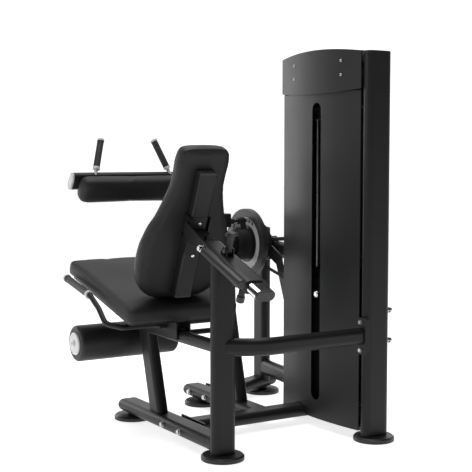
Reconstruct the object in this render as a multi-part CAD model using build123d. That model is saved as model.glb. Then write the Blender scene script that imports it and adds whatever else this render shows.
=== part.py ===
from build123d import *
import math
import os

# Seated leg extension and leg curl machine with its own weight stack.
# Row frame: origin on the floor under the rear column, +X to the sitter's right,
# +Y the way the sitter faces, +Z up. All lengths in millimetres.

# ------------------------------------------------------------------ driving sizes
WALL = 3.0                      # steel tube wall
TUBE_WIDE = 100.0               # flat-oval frame tube, long side
TUBE_THIN = 50.0                # flat-oval frame tube, short side
CAP_LENGTH = 26.0               # domed plastic plug that closes an open tube end
FOOT_RADIUS = 82.5
FOOT_THICKNESS = 20.0
BASE_BOTTOM = 30.0              # underside of the floor tubes
BASE_MID = BASE_BOTTOM + TUBE_THIN / 2
BASE_TOP = BASE_BOTTOM + TUBE_THIN

CENTRE_BASE_END = 815.0         # front tip of the centre floor tube
RIGHT_BASE_X = 390.0
RIGHT_BASE_END = 935.0
CROSS_Y = 320.0                 # cross floor tube that ties the seat frame to the tower
DIAGONAL_START = (RIGHT_BASE_X + 58.0, 768.0)
DIAGONAL_END = (802.0, 921.0)
DIAGONAL_JOINT_Y = 794.0        # centre of the two bolts through the right floor tube
BASE_BOLT_SPREAD = 70.0         # half the distance between the two bolts of a base joint

FRONT_POST_FOOT_Y = 508.0
FRONT_POST_LEAN = math.radians(16.5)
RIGHT_POST_FOOT_Y = 509.0
RIGHT_POST_LEAN = math.radians(14.0)
SEAT_BEAM_Z = 421.0
SEAT_BEAM_SIZE = 48.0
FAR_POST = (759.0, 895.0)
FAR_POST_TOP = 790.0
REAR_ARM_Z = 426.0
REAR_ARM_TALL = 68.0

SLOPE = math.radians(20.8)      # backrest adjuster slopes down to the rear
SLIDE_REAR = (-294.0, 649.0)    # y, z of the inner tube's rear tip on the adjuster axis
SLEEVE_WIDE = 100.0
SLEEVE_THIN = 54.0
SLEEVE_FROM = 75.0              # distances along the adjuster axis from that tip
SLEEVE_TO = 407.0
INNER_WIDE = 80.0
INNER_THIN = 40.0
BRACKET_FROM = 470.0
SLIDE_TRAVEL = 150.0
GAS_X = -69.0
GAS_RADIUS = 17.0
GAS_ROD_RADIUS = 5.0
GAS_LIFT = 20.0                 # gas spring axis above the adjuster axis
GAS_FROM = 60.0
GAS_TO = 338.0

LATCH_AT = 287.0                # release lever pivot: distance along the adjuster, height over it
LATCH_LIFT = 42.0
LATCH_PIN_RADIUS = 6.0
LINK_X = (-58.0, -52.0)         # plate that ties the gas spring to the backrest

RECLINE = math.radians(23.3)
BACK_FOOT = (368.0, 572.0)      # y, z of the lower end of the pad's back plane
BACK_HEIGHT = 650.0
BACK_THICKNESS = 52.0
BOARD_THICKNESS = 10.0
SPINE_WIDE = 78.0
SPINE_DEEP = 50.0
SPINE_FROM = 40.0               # heights up the back plane
SPINE_STEP = 387.0
SPINE_TO = 562.0

SEAT_TILT = math.radians(14.0)
SEAT_REAR = (274.0, 545.0)      # y, z of the rear top edge of the cushion
SEAT_LENGTH = 627.0
SEAT_WIDTH = 500.0
SEAT_THICKNESS = 58.0
SEAT_BOARD = 14.0

PIVOT = (780.0, 735.0)          # y, z of the exercise arm's axis
SHAFT_RADIUS = 17.5
RUNNING = 0.08                  # radial clearance of a running fit
ROLLER = (760.0, 350.0)         # y, z of the ankle roller's axis at rest
ROLLER_RADIUS = 76.0
ROLLER_X = (-266.0, 194.0)
AXLE_RADIUS = 12.5
ROLLER_CAP_RADIUS = 47.5
AXLE_LEFT_X = -265.7
AXLE_COLLAR_X = 206.0
SHAFT_X = (352.0, 720.0)
ARM_X = (478.0, 518.0)          # roller arm, between the hold-down arm's hub and its own hub
HUB_X = (520.0, 584.0)
HUB_RADIUS = 75.0
THIGH_HUB_X = (422.0, 470.0)
THIGH_HUB_RADIUS = 55.0
SIDE_TUBE_X = (322.0, 500.0)    # cross piece of the hold-down arm
SIDE_TUBE_Z = 845.0
DISC_X = (588.0, 612.0)
DISC_RADIUS = 160.0
DISC_RIM = 36.0
INDEX_RADIUS = 105.0            # circle of the start-position holes
INDEX_STEP = 15.0               # degrees between holes
INDEX_HOLES = 9
INDEX_BEHIND = 2                # holes behind the one the arm starts from
PLUNGER_RADIUS = 6.0
CRANK_ELBOW = (640.0, 668.0)    # y, z
CRANK_TIP = (562.0, 470.0)
CRANK_THICK = 9.0
CAM_X = 661.0
CAM_RADIUS = 84.0
BEARING_RADIUS = 40.0

THIGH_BAR = (800.0, 1032.0)     # y, z of the hold-down bar
THIGH_BAR_TILT = math.radians(55.0)
THIGH_BAR_X = (-265.0, 372.0)
THIGH_PAD_X = (-245.0, 220.0)
THIGH_PAD_DROP = 60.0           # bar axis to the middle of the pad

TOWER_X = 661.0
TOWER_REAR_Y = -79.0
TOWER_FRONT_Y = 470.0
UPRIGHT_WIDE = 120.0
TOWER_CORNER_Z = 1549.0
TOWER_ARCH_Z = 1569.0
SHROUD_X = 598.0                # edges of the left shroud
SHROUD_BULGE = 23.0
SHEET = 3.0
SHROUD_Y = (-58.0, 474.0)
SHROUD_Z = (40.0, 1396.0)
SLOT_WIDTH = 60.0
SLOT_Z = (118.0, 1356.0)

STACK_Y = 205.0
PLATE_X = (616.0, 706.0)
PLATE_LENGTH = 290.0
PLATE_THICKNESS = 25.0
STACK_FLOOR = 125.5
LOWER_PLATES = 17
LIFTED_PLATES = 3
LIFT_GAP = 0.3
GUIDE_SPREAD = 110.0
GUIDE_RADIUS = 10.0
TOP_BEAM_Z = 1315.0
TOP_PULLEY_Z = 1425.0
BELT_WIDTH = 20.0
BELT_GAP = 0.3                  # belt inner face to pulley face
BELT_THICK = 5.0
BELT_FRONT_Y = 360.0            # upward run of the belt
LOW_PULLEY_RADIUS = 40.0
LOW_PULLEY_Z = 600.0

# ------------------------------------------------------------------ derived places
STACK_SPLIT = STACK_FLOOR + LOWER_PLATES * PLATE_THICKNESS
LIFTED_FLOOR = STACK_SPLIT + LIFT_GAP
PIN_Z = LIFTED_FLOOR + PLATE_THICKNESS / 2
TOP_PULLEY_Y = (STACK_Y + BELT_FRONT_Y) / 2
TOP_PULLEY_RADIUS = (BELT_FRONT_Y - STACK_Y - BELT_THICK) / 2 - BELT_GAP
LOW_PULLEY_Y = BELT_FRONT_Y + LOW_PULLEY_RADIUS + BELT_GAP + BELT_THICK / 2
TOWER_MID_Y = (TOWER_REAR_Y + TOWER_FRONT_Y) / 2
X_AXIS = (1, 0, 0)
Y_AXIS = (0, 1, 0)
Z_AXIS = (0, 0, 1)

NODES = {}


def add(name, *shapes):
    """Collect the solids of the shapes under one node name."""
    for shape in shapes:
        NODES.setdefault(name, []).extend(shape.solids())


# ------------------------------------------------------------------ general shapes
def bar(start, end, wide, thin, wide_dir):
    """Solid flat-oval bar between two points, its long side along wide_dir."""
    run = Vector(*end) - Vector(*start)
    plane = Plane(origin=start, x_dir=wide_dir, z_dir=run)
    return extrude(plane * SlotOverall(wide, thin), amount=run.length)


def bore_of(start, end, wide, thin, wide_dir, wall=WALL):
    """The hollow inside of a flat-oval tube."""
    return bar(start, end, wide - 2 * wall, thin - 2 * wall, wide_dir)


def box_bar(start, end, wide, thin, radius, wide_dir):
    """Solid rounded-rectangle bar between two points."""
    run = Vector(*end) - Vector(*start)
    plane = Plane(origin=start, x_dir=wide_dir, z_dir=run)
    return extrude(plane * RectangleRounded(wide, thin, radius), amount=run.length)


def rod(start, end, radius):
    """Solid round rod between two points."""
    run = Vector(*end) - Vector(*start)
    plane = Plane(origin=start, z_dir=run)
    return extrude(plane * Circle(radius), amount=run.length)


def rod_x(x_from, x_to, y, z, radius):
    """Round rod along X."""
    return rod((x_from, y, z), (x_to, y, z), radius)


def ring_x(x_from, x_to, y, z, outer, inner):
    """Round ring along X."""
    return rod_x(x_from, x_to, y, z, outer) - rod_x(x_from - 1, x_to + 1, y, z, inner)


def block(x, y, z):
    """Rectangular block from three (low, high) pairs."""
    size = (x[1] - x[0], y[1] - y[0], z[1] - z[0])
    middle = ((x[0] + x[1]) / 2, (y[0] + y[1]) / 2, (z[0] + z[1]) / 2)
    return Pos(*middle) * Box(*size)


def plate_x(x_from, x_to, outline):
    """Flat plate square to X from a list of (y, z) corners."""
    face = Plane.YZ * make_face(Polyline(*outline, close=True))
    return Pos(x_from, 0, 0) * extrude(face, amount=x_to - x_from)


def end_plug(start, end, wide, thin, wide_dir, dome=18.0):
    """Domed plug whose outer end is at 'end', its rim rounded over."""
    plug = bar(start, end, wide, thin, wide_dir)
    run = (Vector(*end) - Vector(*start)).normalized()
    rim = plug.faces().sort_by(Axis(origin=start, direction=run))[-1].edges()
    return fillet(rim, dome)


def hex_bolt(centre, direction, length, size=12.0):
    """Bolt with washer and hexagon head; centre is under the washer, direction points out."""
    plane = Plane(origin=centre, z_dir=direction)
    washer = extrude(plane * Circle(size), amount=2)
    head = extrude(plane.offset(2) * RegularPolygon(size * 0.9, 6), amount=size * 0.6)
    shank = extrude(plane * Circle(size / 2), amount=-length)
    return washer + head + shank


def cap_screw(centre, direction, radius=5.0, height=4.0, length=12.0):
    """Round-headed screw with a hexagon socket; centre is under the head."""
    plane = Plane(origin=centre, z_dir=direction)
    head = extrude(plane * Circle(radius), amount=height)
    head = chamfer(head.faces().sort_by(Axis(origin=centre, direction=direction))[-1].edges(),
                   radius * 0.25)
    shank = extrude(plane * Circle(radius * 0.5), amount=-length)
    socket = extrude(plane.offset(height - radius * 0.5) * RegularPolygon(radius * 0.45, 6),
                     amount=radius)
    return head + shank - socket


# ------------------------------------------------------------------ main tubes as solids
def leaning(foot_y, lean, length, x):
    """End points of a post that leans forward from the top of the floor tubes."""
    foot = (x, foot_y, BASE_TOP - 20)
    top = (x, foot_y + length * math.sin(lean), foot[2] + length * math.cos(lean))
    return foot, top


def slide_point(distance, x=0.0, lift=0.0):
    """Point on the adjuster axis, 'distance' forward of the inner tube's rear tip."""
    y = SLIDE_REAR[0] + distance * math.cos(SLOPE) - lift * math.sin(SLOPE)
    z = SLIDE_REAR[1] + distance * math.sin(SLOPE) + lift * math.cos(SLOPE)
    return (x, y, z)


COLUMN = ((0, 0, FOOT_THICKNESS), (0, 0, 745), TUBE_WIDE, TUBE_THIN, X_AXIS)
CENTRE_BASE = ((0, 0, BASE_MID), (0, CENTRE_BASE_END - CAP_LENGTH, BASE_MID),
               TUBE_WIDE, TUBE_THIN, X_AXIS)
RIGHT_BASE = ((RIGHT_BASE_X, CROSS_Y, BASE_MID),
              (RIGHT_BASE_X, RIGHT_BASE_END - CAP_LENGTH, BASE_MID), TUBE_WIDE, TUBE_THIN, X_AXIS)
CROSS_BASE = ((58, CROSS_Y, BASE_MID), (TOWER_X, CROSS_Y, BASE_MID), TUBE_WIDE, TUBE_THIN, Y_AXIS)
FRONT_POST = (*leaning(FRONT_POST_FOOT_Y, FRONT_POST_LEAN, 385, 0), TUBE_WIDE, TUBE_THIN, Y_AXIS)
RIGHT_POST = (*leaning(RIGHT_POST_FOOT_Y, RIGHT_POST_LEAN, 690, RIGHT_BASE_X),
              TUBE_WIDE, TUBE_THIN, Y_AXIS)
DIAGONAL = ((*DIAGONAL_START, BASE_MID), (*DIAGONAL_END, BASE_MID), TUBE_WIDE, TUBE_THIN,
            (DIAGONAL_START[1] - DIAGONAL_END[1], DIAGONAL_END[0] - DIAGONAL_START[0], 0))
FAR_COLUMN = ((*FAR_POST, BASE_TOP - 20), (*FAR_POST, FAR_POST_TOP), TUBE_WIDE, TUBE_THIN, Y_AXIS)
UPPER_BRACE = ((706, TOWER_FRONT_Y, 705), (758, 860, 705), 75, TUBE_THIN, Z_AXIS)
LOWER_BRACE = ((706, TOWER_FRONT_Y, 128), (758, 860, 128), 75, TUBE_THIN, Z_AXIS)
TOWER_REAR = ((TOWER_X, TOWER_REAR_Y, FOOT_THICKNESS), (TOWER_X, TOWER_REAR_Y, TOWER_CORNER_Z - 6),
              UPRIGHT_WIDE, TUBE_THIN, X_AXIS)
TOWER_FRONT = ((TOWER_X, TOWER_FRONT_Y, FOOT_THICKNESS),
               (TOWER_X, TOWER_FRONT_Y, TOWER_CORNER_Z - 6), UPRIGHT_WIDE, TUBE_THIN, X_AXIS)
TOWER_FLOOR_BEAM = ((TOWER_X, TOWER_REAR_Y, BASE_MID), (TOWER_X, TOWER_FRONT_Y, BASE_MID),
                    TUBE_WIDE, TUBE_THIN, X_AXIS)
TOWER_TOP_BEAM = ((TOWER_X, TOWER_REAR_Y, TOP_BEAM_Z), (TOWER_X, TOWER_FRONT_Y, TOP_BEAM_Z),
                  TUBE_WIDE, TUBE_THIN, X_AXIS)
SLEEVE = (slide_point(SLEEVE_FROM), slide_point(SLEEVE_TO), SLEEVE_WIDE, SLEEVE_THIN, X_AXIS)


def coped(tube_spec, *neighbours):
    """Hollow tube with the outside of each neighbour cut away where it meets them."""
    shape = bar(*tube_spec) - bore_of(*tube_spec)
    for neighbour in neighbours:
        shape -= bar(*neighbour)
    return shape


def keep_largest(shape):
    """The biggest solid left after a cut."""
    return shape.solids().sort_by(SortBy.VOLUME)[-1]


# ------------------------------------------------------------------ floor frame
def make_feet():
    """Round levelling feet: a rubber-edged disc, and a stem where a floor tube sits higher."""
    low = [(0, 0), (TOWER_X, TOWER_REAR_Y), (TOWER_X, TOWER_FRONT_Y)]
    high = [(0, 753), (RIGHT_BASE_X, 828), FAR_POST]
    feet = []
    for x, y in low + high:
        disc = Pos(x, y, FOOT_THICKNESS / 2) * Cylinder(FOOT_RADIUS, FOOT_THICKNESS)
        disc = chamfer(disc.edges().group_by(Axis.Z)[-1], 6)
        disc = fillet(disc.edges().group_by(Axis.Z)[0], 2)
        if (x, y) in high:
            disc += Pos(x, y, (FOOT_THICKNESS + BASE_BOTTOM) / 2) * Cylinder(24, BASE_BOTTOM - FOOT_THICKNESS)
        feet.append(disc)
    add("foot_discs", *feet)


def make_floor_frame():
    """Floor tubes, the bolted flanges between them, and their end plugs."""
    centre = coped(CENTRE_BASE, COLUMN)
    for side in (-1, 1):
        centre -= rod_x(-60, -30, CROSS_Y + side * BASE_BOLT_SPREAD, BASE_MID, 6)
    add("centre_base_tube", centre)
    cross = coped(CROSS_BASE, TOWER_FLOOR_BEAM)
    add("cross_base_tube", keep_largest(cross))
    right = coped(RIGHT_BASE, CROSS_BASE)
    for side in (-1, 1):
        bolt_y = DIAGONAL_JOINT_Y + side * BASE_BOLT_SPREAD
        right -= rod_x(RIGHT_BASE_X - 60, RIGHT_BASE_X - 30, bolt_y, BASE_MID, 6)
    add("right_base_tube", keep_largest(right))
    flange_y = (CROSS_Y - 92, CROSS_Y + 92)
    cross_flange = block((50, 58), flange_y, (BASE_BOTTOM, BASE_TOP))
    diagonal_x = (RIGHT_BASE_X + 50, RIGHT_BASE_X + 58)
    diagonal_y = (DIAGONAL_JOINT_Y - 92, DIAGONAL_JOINT_Y + 92)
    diagonal_flange = block(diagonal_x, diagonal_y, (BASE_BOTTOM, BASE_TOP))
    add("flange_plates", cross_flange, diagonal_flange)
    past_flange = block((diagonal_x[1] - 200, diagonal_x[1]), (500, 1100), (0, 200))
    longer = ((DIAGONAL_START[0] - 60, DIAGONAL_START[1] - 26, BASE_MID), *DIAGONAL[1:])
    diagonal = bar(*longer) - bore_of(*longer) - past_flange
    add("diagonal_base_tube", keep_largest(diagonal))
    tips = []
    for spec in (CENTRE_BASE, RIGHT_BASE):
        start = spec[1]
        tips.append(end_plug(start, (start[0], start[1] + CAP_LENGTH, start[2]), *spec[2:]))
    run = (Vector(*DIAGONAL[1]) - Vector(*DIAGONAL[0])).normalized()
    tips.append(end_plug(DIAGONAL[1], tuple(Vector(*DIAGONAL[1]) + run * CAP_LENGTH), *DIAGONAL[2:]))
    add("tube_end_caps", *tips)
    bolts = []
    for x, y_mid in ((-50, CROSS_Y), (RIGHT_BASE_X - 50, DIAGONAL_JOINT_Y)):
        for side in (-1, 1):
            bolts.append(hex_bolt((x, y_mid + side * BASE_BOLT_SPREAD, BASE_MID), (-1, 0, 0), 12))
    return bolts


def make_posts():
    """Upright members of the seat frame and of the far side of the pivot."""
    add("rear_column", coped(COLUMN, SLEEVE))
    front = coped(FRONT_POST, CENTRE_BASE)
    add("front_post", keep_largest(front))
    beam_spec = ((0, 0, SEAT_BEAM_Z), (0, 640, SEAT_BEAM_Z))
    beam = box_bar(*beam_spec, SEAT_BEAM_SIZE, SEAT_BEAM_SIZE, 20, X_AXIS)
    inner = SEAT_BEAM_SIZE - 2 * WALL
    beam -= box_bar(*beam_spec, inner, inner, 17, X_AXIS)
    beam -= bar(*COLUMN)
    beam -= bar(*FRONT_POST)
    add("seat_beam", keep_largest(beam))
    right = coped(RIGHT_POST, RIGHT_BASE)
    add("right_post", keep_largest(right))
    far = coped(FAR_COLUMN, DIAGONAL)
    add("far_post", keep_largest(far))
    add("side_braces", keep_largest(coped(UPPER_BRACE, TOWER_FRONT, FAR_COLUMN)))
    add("side_braces", keep_largest(coped(LOWER_BRACE, TOWER_FRONT, FAR_COLUMN, DIAGONAL)))
    caps = [end_plug((*FAR_POST, FAR_POST_TOP), (*FAR_POST, FAR_POST_TOP + 10),
                     TUBE_WIDE, TUBE_THIN, Y_AXIS, 6)]
    run = (Vector(*RIGHT_POST[1]) - Vector(*RIGHT_POST[0])).normalized()
    caps.append(end_plug(RIGHT_POST[1], tuple(Vector(*RIGHT_POST[1]) + run * 8), *RIGHT_POST[2:], 5))
    add("tube_end_caps", *caps)


def rear_arm_solid(wide, thin):
    """Arm from the column to the tower: it leaves the column, bends, and runs along X."""
    path = FilletPolyline((0, 0, REAR_ARM_Z), (120, TOWER_REAR_Y, REAR_ARM_Z),
                          (TOWER_X, TOWER_REAR_Y, REAR_ARM_Z), radius=160)
    start = Plane(origin=path @ 0, x_dir=Z_AXIS, z_dir=path % 0)
    return sweep(start * SlotOverall(wide, thin), path=path)


def make_rear_arm():
    """Rear arm with its bolted flange on the tower."""
    shape = rear_arm_solid(REAR_ARM_TALL, 46)
    shape -= rear_arm_solid(REAR_ARM_TALL - 2 * WALL, 46 - 2 * WALL)
    flange_x = (590, 598)
    shape -= block((flange_x[0], TOWER_X + 80), (-200, 60), (300, 600))
    shape -= bar(*COLUMN)
    add("rear_arm", keep_largest(shape))
    flange = block(flange_x, (TOWER_REAR_Y - 30, TOWER_REAR_Y + 16), (REAR_ARM_Z - 74, REAR_ARM_Z + 74))
    pad = block((flange_x[1], 630), (TOWER_REAR_Y - 24, TOWER_REAR_Y + 16),
                (REAR_ARM_Z - 66, REAR_ARM_Z + 66))
    pad -= bar(*TOWER_REAR)
    pad = keep_largest(pad)
    for side in (-1, 1):
        hole = rod_x(flange_x[0] - 1, flange_x[0] + 12, TOWER_REAR_Y, REAR_ARM_Z + side * 56, 4.5)
        flange -= hole
        pad -= hole
    add("flange_plates", flange, pad)
    bolts = []
    for side in (-1, 1):
        bolts.append(hex_bolt((flange_x[0], TOWER_REAR_Y, REAR_ARM_Z + side * 56), (-1, 0, 0), 8, 9))
    return bolts


# ------------------------------------------------------------------ backrest adjuster
def make_adjuster():
    """Fixed sleeve with its liners, the gas spring body and the latch housing."""
    sleeve = bar(*SLEEVE) - bore_of(*SLEEVE)
    add("adjuster_sleeve", sleeve)
    liners = []
    for low in (SLEEVE_FROM, SLEEVE_TO - 60):
        span = (slide_point(low), slide_point(low + 60))
        liner = bar(*span, SLEEVE_WIDE - 2 * WALL, SLEEVE_THIN - 2 * WALL, X_AXIS)
        liners.append(liner - bar(*span, INNER_WIDE + 0.3, INNER_THIN + 0.3, X_AXIS))
    add("adjuster_sleeve", *liners)
    gas_rear = slide_point(GAS_FROM, GAS_X, GAS_LIFT)
    gas_front = slide_point(GAS_TO, GAS_X, GAS_LIFT)
    gas = end_plug(gas_front, gas_rear, 2 * GAS_RADIUS + 0.01, 2 * GAS_RADIUS, X_AXIS, 4)
    gas -= rod(slide_point(GAS_FROM + 40, GAS_X, GAS_LIFT), slide_point(GAS_TO + 1, GAS_X, GAS_LIFT),
               GAS_ROD_RADIUS + RUNNING)
    add("gas_spring_body", gas)
    lug_span = (slide_point(SLEEVE_FROM + 5, GAS_X + 8, 12), slide_point(SLEEVE_FROM + 35, GAS_X + 8, 12))
    lug = box_bar(*lug_span, 34, 24, 3, X_AXIS) - bar(*SLEEVE)
    lug -= rod(gas_rear, gas_front, GAS_RADIUS + 0.05)
    add("adjuster_sleeve", keep_largest(lug))
    cheeks = []
    for side in (-1, 1):
        low, high = sorted_pair(side * 12.5, side * 17.5)
        corners = [slide_point(LATCH_AT + along, 0, lift) for along, lift in
                   ((-24, 20), (24, 20), (12, LATCH_LIFT + 12), (-12, LATCH_LIFT + 12))]
        cheek = plate_x(low, high, [(p[1], p[2]) for p in corners]) - bar(*SLEEVE)
        cheeks.append(keep_largest(cheek) - latch_pin(-30, 30))
    add("adjuster_sleeve", *cheeks)
    heads = latch_pin(-20.5, -17.5, 9) + latch_pin(17.5, 20.5, 9)
    add("frame_bolts", latch_pin(-17.5, 17.5) + heads)
    knob_plane = Plane(origin=slide_point(SLEEVE_FROM + 24, -34, -SLEEVE_THIN / 2),
                       z_dir=slide_normal(-1))
    boss = extrude(knob_plane * Circle(12), amount=16) + extrude(knob_plane * Circle(12), amount=-6)
    boss -= extrude(knob_plane.offset(-8) * Circle(5), amount=60)
    boss -= bar(*SLEEVE)
    add("adjuster_sleeve", keep_largest(boss))
    knob = extrude(knob_plane.offset(17) * Circle(15), amount=26)
    knob = fillet(knob.edges(), 4)
    knob += extrude(knob_plane.offset(0.5) * Circle(4.8), amount=18)
    add("stop_pin_knob", knob)


def slide_normal(sign):
    """Unit vector square to the adjuster axis in the plane of symmetry, up for +1."""
    return (0, -math.sin(SLOPE) * sign, math.cos(SLOPE) * sign)


def latch_pin(x_from, x_to, radius=LATCH_PIN_RADIUS):
    """Cross pin of the release lever."""
    _, y, z = slide_point(LATCH_AT, 0, LATCH_LIFT)
    return rod_x(x_from, x_to, y, z, radius)


def make_release_lever():
    """Upright lever that frees the backrest latch, with a short cross handle at its top."""
    foot = slide_point(LATCH_AT, 0, LATCH_LIFT)
    top = slide_point(LATCH_AT, 0, LATCH_LIFT + 74)
    grip = slide_point(LATCH_AT, 0, LATCH_LIFT + 66)
    lever = box_bar(foot, top, 20, 24, 5, X_AXIS) + latch_pin(-10, 10, 12)
    lever += rod_x(-24, 24, grip[1], grip[2], 7)
    add("release_lever", lever - latch_pin(-30, 30, LATCH_PIN_RADIUS + RUNNING))


# ------------------------------------------------------------------ backrest
def back_plane(height=0.0, depth=0.0):
    """Plane on the back of the pad: x across, y up the slope, z pointing to the rear."""
    up = (0, -math.sin(RECLINE), math.cos(RECLINE))
    behind = (0, -math.cos(RECLINE), -math.sin(RECLINE))
    origin = (0, BACK_FOOT[0] + height * up[1] + depth * behind[1],
              BACK_FOOT[1] + height * up[2] + depth * behind[2])
    return Plane(origin=origin, x_dir=X_AXIS, z_dir=behind)


def backrest_face(inset):
    """Outline of the backrest: round foot, wide hips, waist and a squarish rounded head."""
    side = [(75, 0), (140, 22), (175, 60), (192, 105), (198, 160), (198, 207), (192, 250), (175, 307),
            (154, 350), (139, 392), (124, 441), (114, 486), (112, 540), (112, 590)]
    head = [(99, 636), (62, BACK_HEIGHT)]
    across = 1 - inset / 198
    along = 1 - 2 * inset / BACK_HEIGHT
    edges = []
    for sign in (1, -1):
        flank = [(sign * x * across, inset + y * along) for x, y in side]
        corner = [(sign * x * across, inset + y * along) for x, y in head]
        edges.append(Spline(*flank))
        edges.append(ThreePointArc(flank[-1], *corner))
    edges.append(Line(edges[1] @ 1, edges[3] @ 1))
    edges.append(Line(edges[0] @ 0, edges[2] @ 0))
    return make_face(edges)


def make_backrest():
    """Pad, board, spine and the inner tube that slides in the sleeve."""
    pad = extrude(back_plane(0, -BACK_THICKNESS) * backrest_face(0), amount=BACK_THICKNESS)
    add("backrest_pad", pad)
    board = extrude(back_plane() * backrest_face(14), amount=BOARD_THICKNESS)
    holes = [spine_screw(v) for v in (360, 221)]
    lower = spine_box(SPINE_FROM, SPINE_STEP, 0) - spine_box(SPINE_FROM, SPINE_STEP, WALL)
    for screw in holes:
        lower -= screw
    upper = spine_box(SPINE_STEP, SPINE_TO, 2) - spine_box(SPINE_STEP, SPINE_TO, 2 + WALL)
    add("backrest_spine", lower, upper)
    add("backrest_caps", spine_box(SPINE_FROM - 6, SPINE_FROM, 0), spine_box(SPINE_TO, SPINE_TO + 6, 2))
    reach = slide_point(BRACKET_FROM + 200)
    bracket = bar(slide_point(BRACKET_FROM), reach, SLEEVE_WIDE - 6, SLEEVE_THIN - 4, X_AXIS)
    front = extrude(back_plane(0, BOARD_THICKNESS + SPINE_DEEP) * Rectangle(900, 1800), amount=-900)
    bracket -= front
    tube_spec = (slide_point(8), reach, INNER_WIDE, INNER_THIN, X_AXIS)
    tube = bar(*tube_spec) - bore_of(*tube_spec) - front
    inner_tube = keep_largest(tube)
    bracket -= bar(*tube_spec)
    add("inner_tube", inner_tube)
    add("backrest_spine", keep_largest(bracket))
    cap = bar(slide_point(0), slide_point(8), INNER_WIDE, INNER_THIN, X_AXIS)
    cap = chamfer(cap.faces().sort_by(Axis(origin=slide_point(0), direction=slide_run()))[0].edges(), 2)
    plug = bar(slide_point(8), slide_point(28), INNER_WIDE - 2 * WALL, INNER_THIN - 2 * WALL, X_AXIS)
    add("backrest_caps", cap + plug)
    side_plates = []
    for side in (-1, 1):
        x = side * (SPINE_WIDE / 2 + 3)
        low = back_plane(236, BOARD_THICKNESS + 6).origin
        high = back_plane(384, BOARD_THICKNESS + 6).origin
        back_low = back_plane(236, BOARD_THICKNESS + SPINE_DEEP + 8).origin
        back_high = back_plane(384, BOARD_THICKNESS + SPINE_DEEP + 8).origin
        outline = [(p.Y, p.Z) for p in (low, high, back_high, back_low)]
        side_plates.append(plate_x(x - 3, x + 3, outline) - bar(*tube_spec)
                           - bar(slide_point(BRACKET_FROM), reach, SLEEVE_WIDE - 6, SLEEVE_THIN - 4, X_AXIS))
    add("backrest_spine", *side_plates)
    screws = []
    for u, v in ((-78, 500), (78, 500), (-78, 90), (78, 90)):
        centre = back_plane(v, BOARD_THICKNESS).origin + Vector(u, 0, 0)
        screws.append(cap_screw(tuple(centre), tuple(back_plane().z_dir), 7, 4, BOARD_THICKNESS - 1))
        board -= screws[-1]
    add("backrest_board", board)
    add("backrest_screws", *screws, *holes)
    rod_from = slide_point(GAS_FROM + 45, GAS_X, GAS_LIFT)
    rod_to = slide_point(GAS_TO + 13, GAS_X, GAS_LIFT)
    eye_centre = slide_point(GAS_TO + 24, GAS_X, GAS_LIFT)
    eye = rod_x(GAS_X - 7, GAS_X + 7, eye_centre[1], eye_centre[2], 13)
    stem = rod(rod_from, rod_to, GAS_ROD_RADIUS)
    stud = rod_x(GAS_X - 12, LINK_X[0], eye_centre[1], eye_centre[2], 5)
    stud += rod_x(GAS_X - 14, GAS_X - 7, eye_centre[1], eye_centre[2], 9)
    add("gas_spring_rod", stem + eye + stud)
    add("backrest_spine", link_to_spine(eye_centre))


def spine_box(low, high, inset):
    """Length of the spine between two heights up the back plane, inset from its full section."""
    depth = BOARD_THICKNESS + SPINE_DEEP / 2
    wide, deep = SPINE_WIDE - 2 * inset, SPINE_DEEP - 2 * inset
    ends = [tuple(back_plane(height, depth).origin) for height in (low, high)]
    return box_bar(*ends, wide, deep, 11 - inset, X_AXIS)


def spine_screw(height):
    """Screw in the rear face of the spine."""
    plane = back_plane(height, BOARD_THICKNESS + SPINE_DEEP)
    return cap_screw(tuple(plane.origin), tuple(plane.z_dir), 7, 4, WALL)


def slide_run():
    """Unit vector forward and up along the adjuster axis."""
    return (0, math.cos(SLOPE), math.sin(SLOPE))


def link_to_spine(eye_centre):
    """Side plate that carries the gas spring's front eye back to the bracket on the spine."""
    y, z = eye_centre[1], eye_centre[2]
    near = slide_point(BRACKET_FROM + 30)
    outline = [(y - 16, z + 4), (y, z + 18), (near[1], near[2] + 62), (near[1] + 26, near[2] + 20),
               (near[1] - 2, near[2] - 8), (y + 4, z - 18)]
    plate = plate_x(*LINK_X, outline)
    foot = block((LINK_X[1], -40), (near[1] - 8, near[1] + 22), (near[2] - 6, near[2] + 22))
    reach = slide_point(BRACKET_FROM + 200)
    foot -= bar(slide_point(BRACKET_FROM), reach, SLEEVE_WIDE - 6, SLEEVE_THIN - 4, X_AXIS)
    return plate + foot


# ------------------------------------------------------------------ seat
def seat_plane(depth=0.0):
    """Plane on top of the seat: x across, y forward up the slope, z out of the seat."""
    normal = (0, -math.sin(SEAT_TILT), math.cos(SEAT_TILT))
    origin = (0, SEAT_REAR[0] - depth * normal[1], SEAT_REAR[1] - depth * normal[2])
    return Plane(origin=origin, x_dir=X_AXIS, z_dir=normal)


def seat_face(inset):
    """Seat outline: straight sides, a nearly square back and a gently bowed front."""
    half = SEAT_WIDTH / 2 - inset
    rear = inset
    front = SEAT_LENGTH - inset
    corner = 24.0 - inset / 3
    lines = Polyline((-half, front - 10), (-half, rear), (half, rear), (half, front - 10))
    bow = ThreePointArc((half, front - 10), (0, front), (-half, front - 10))
    return fillet(make_face([lines, bow]).vertices(), corner)


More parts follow.
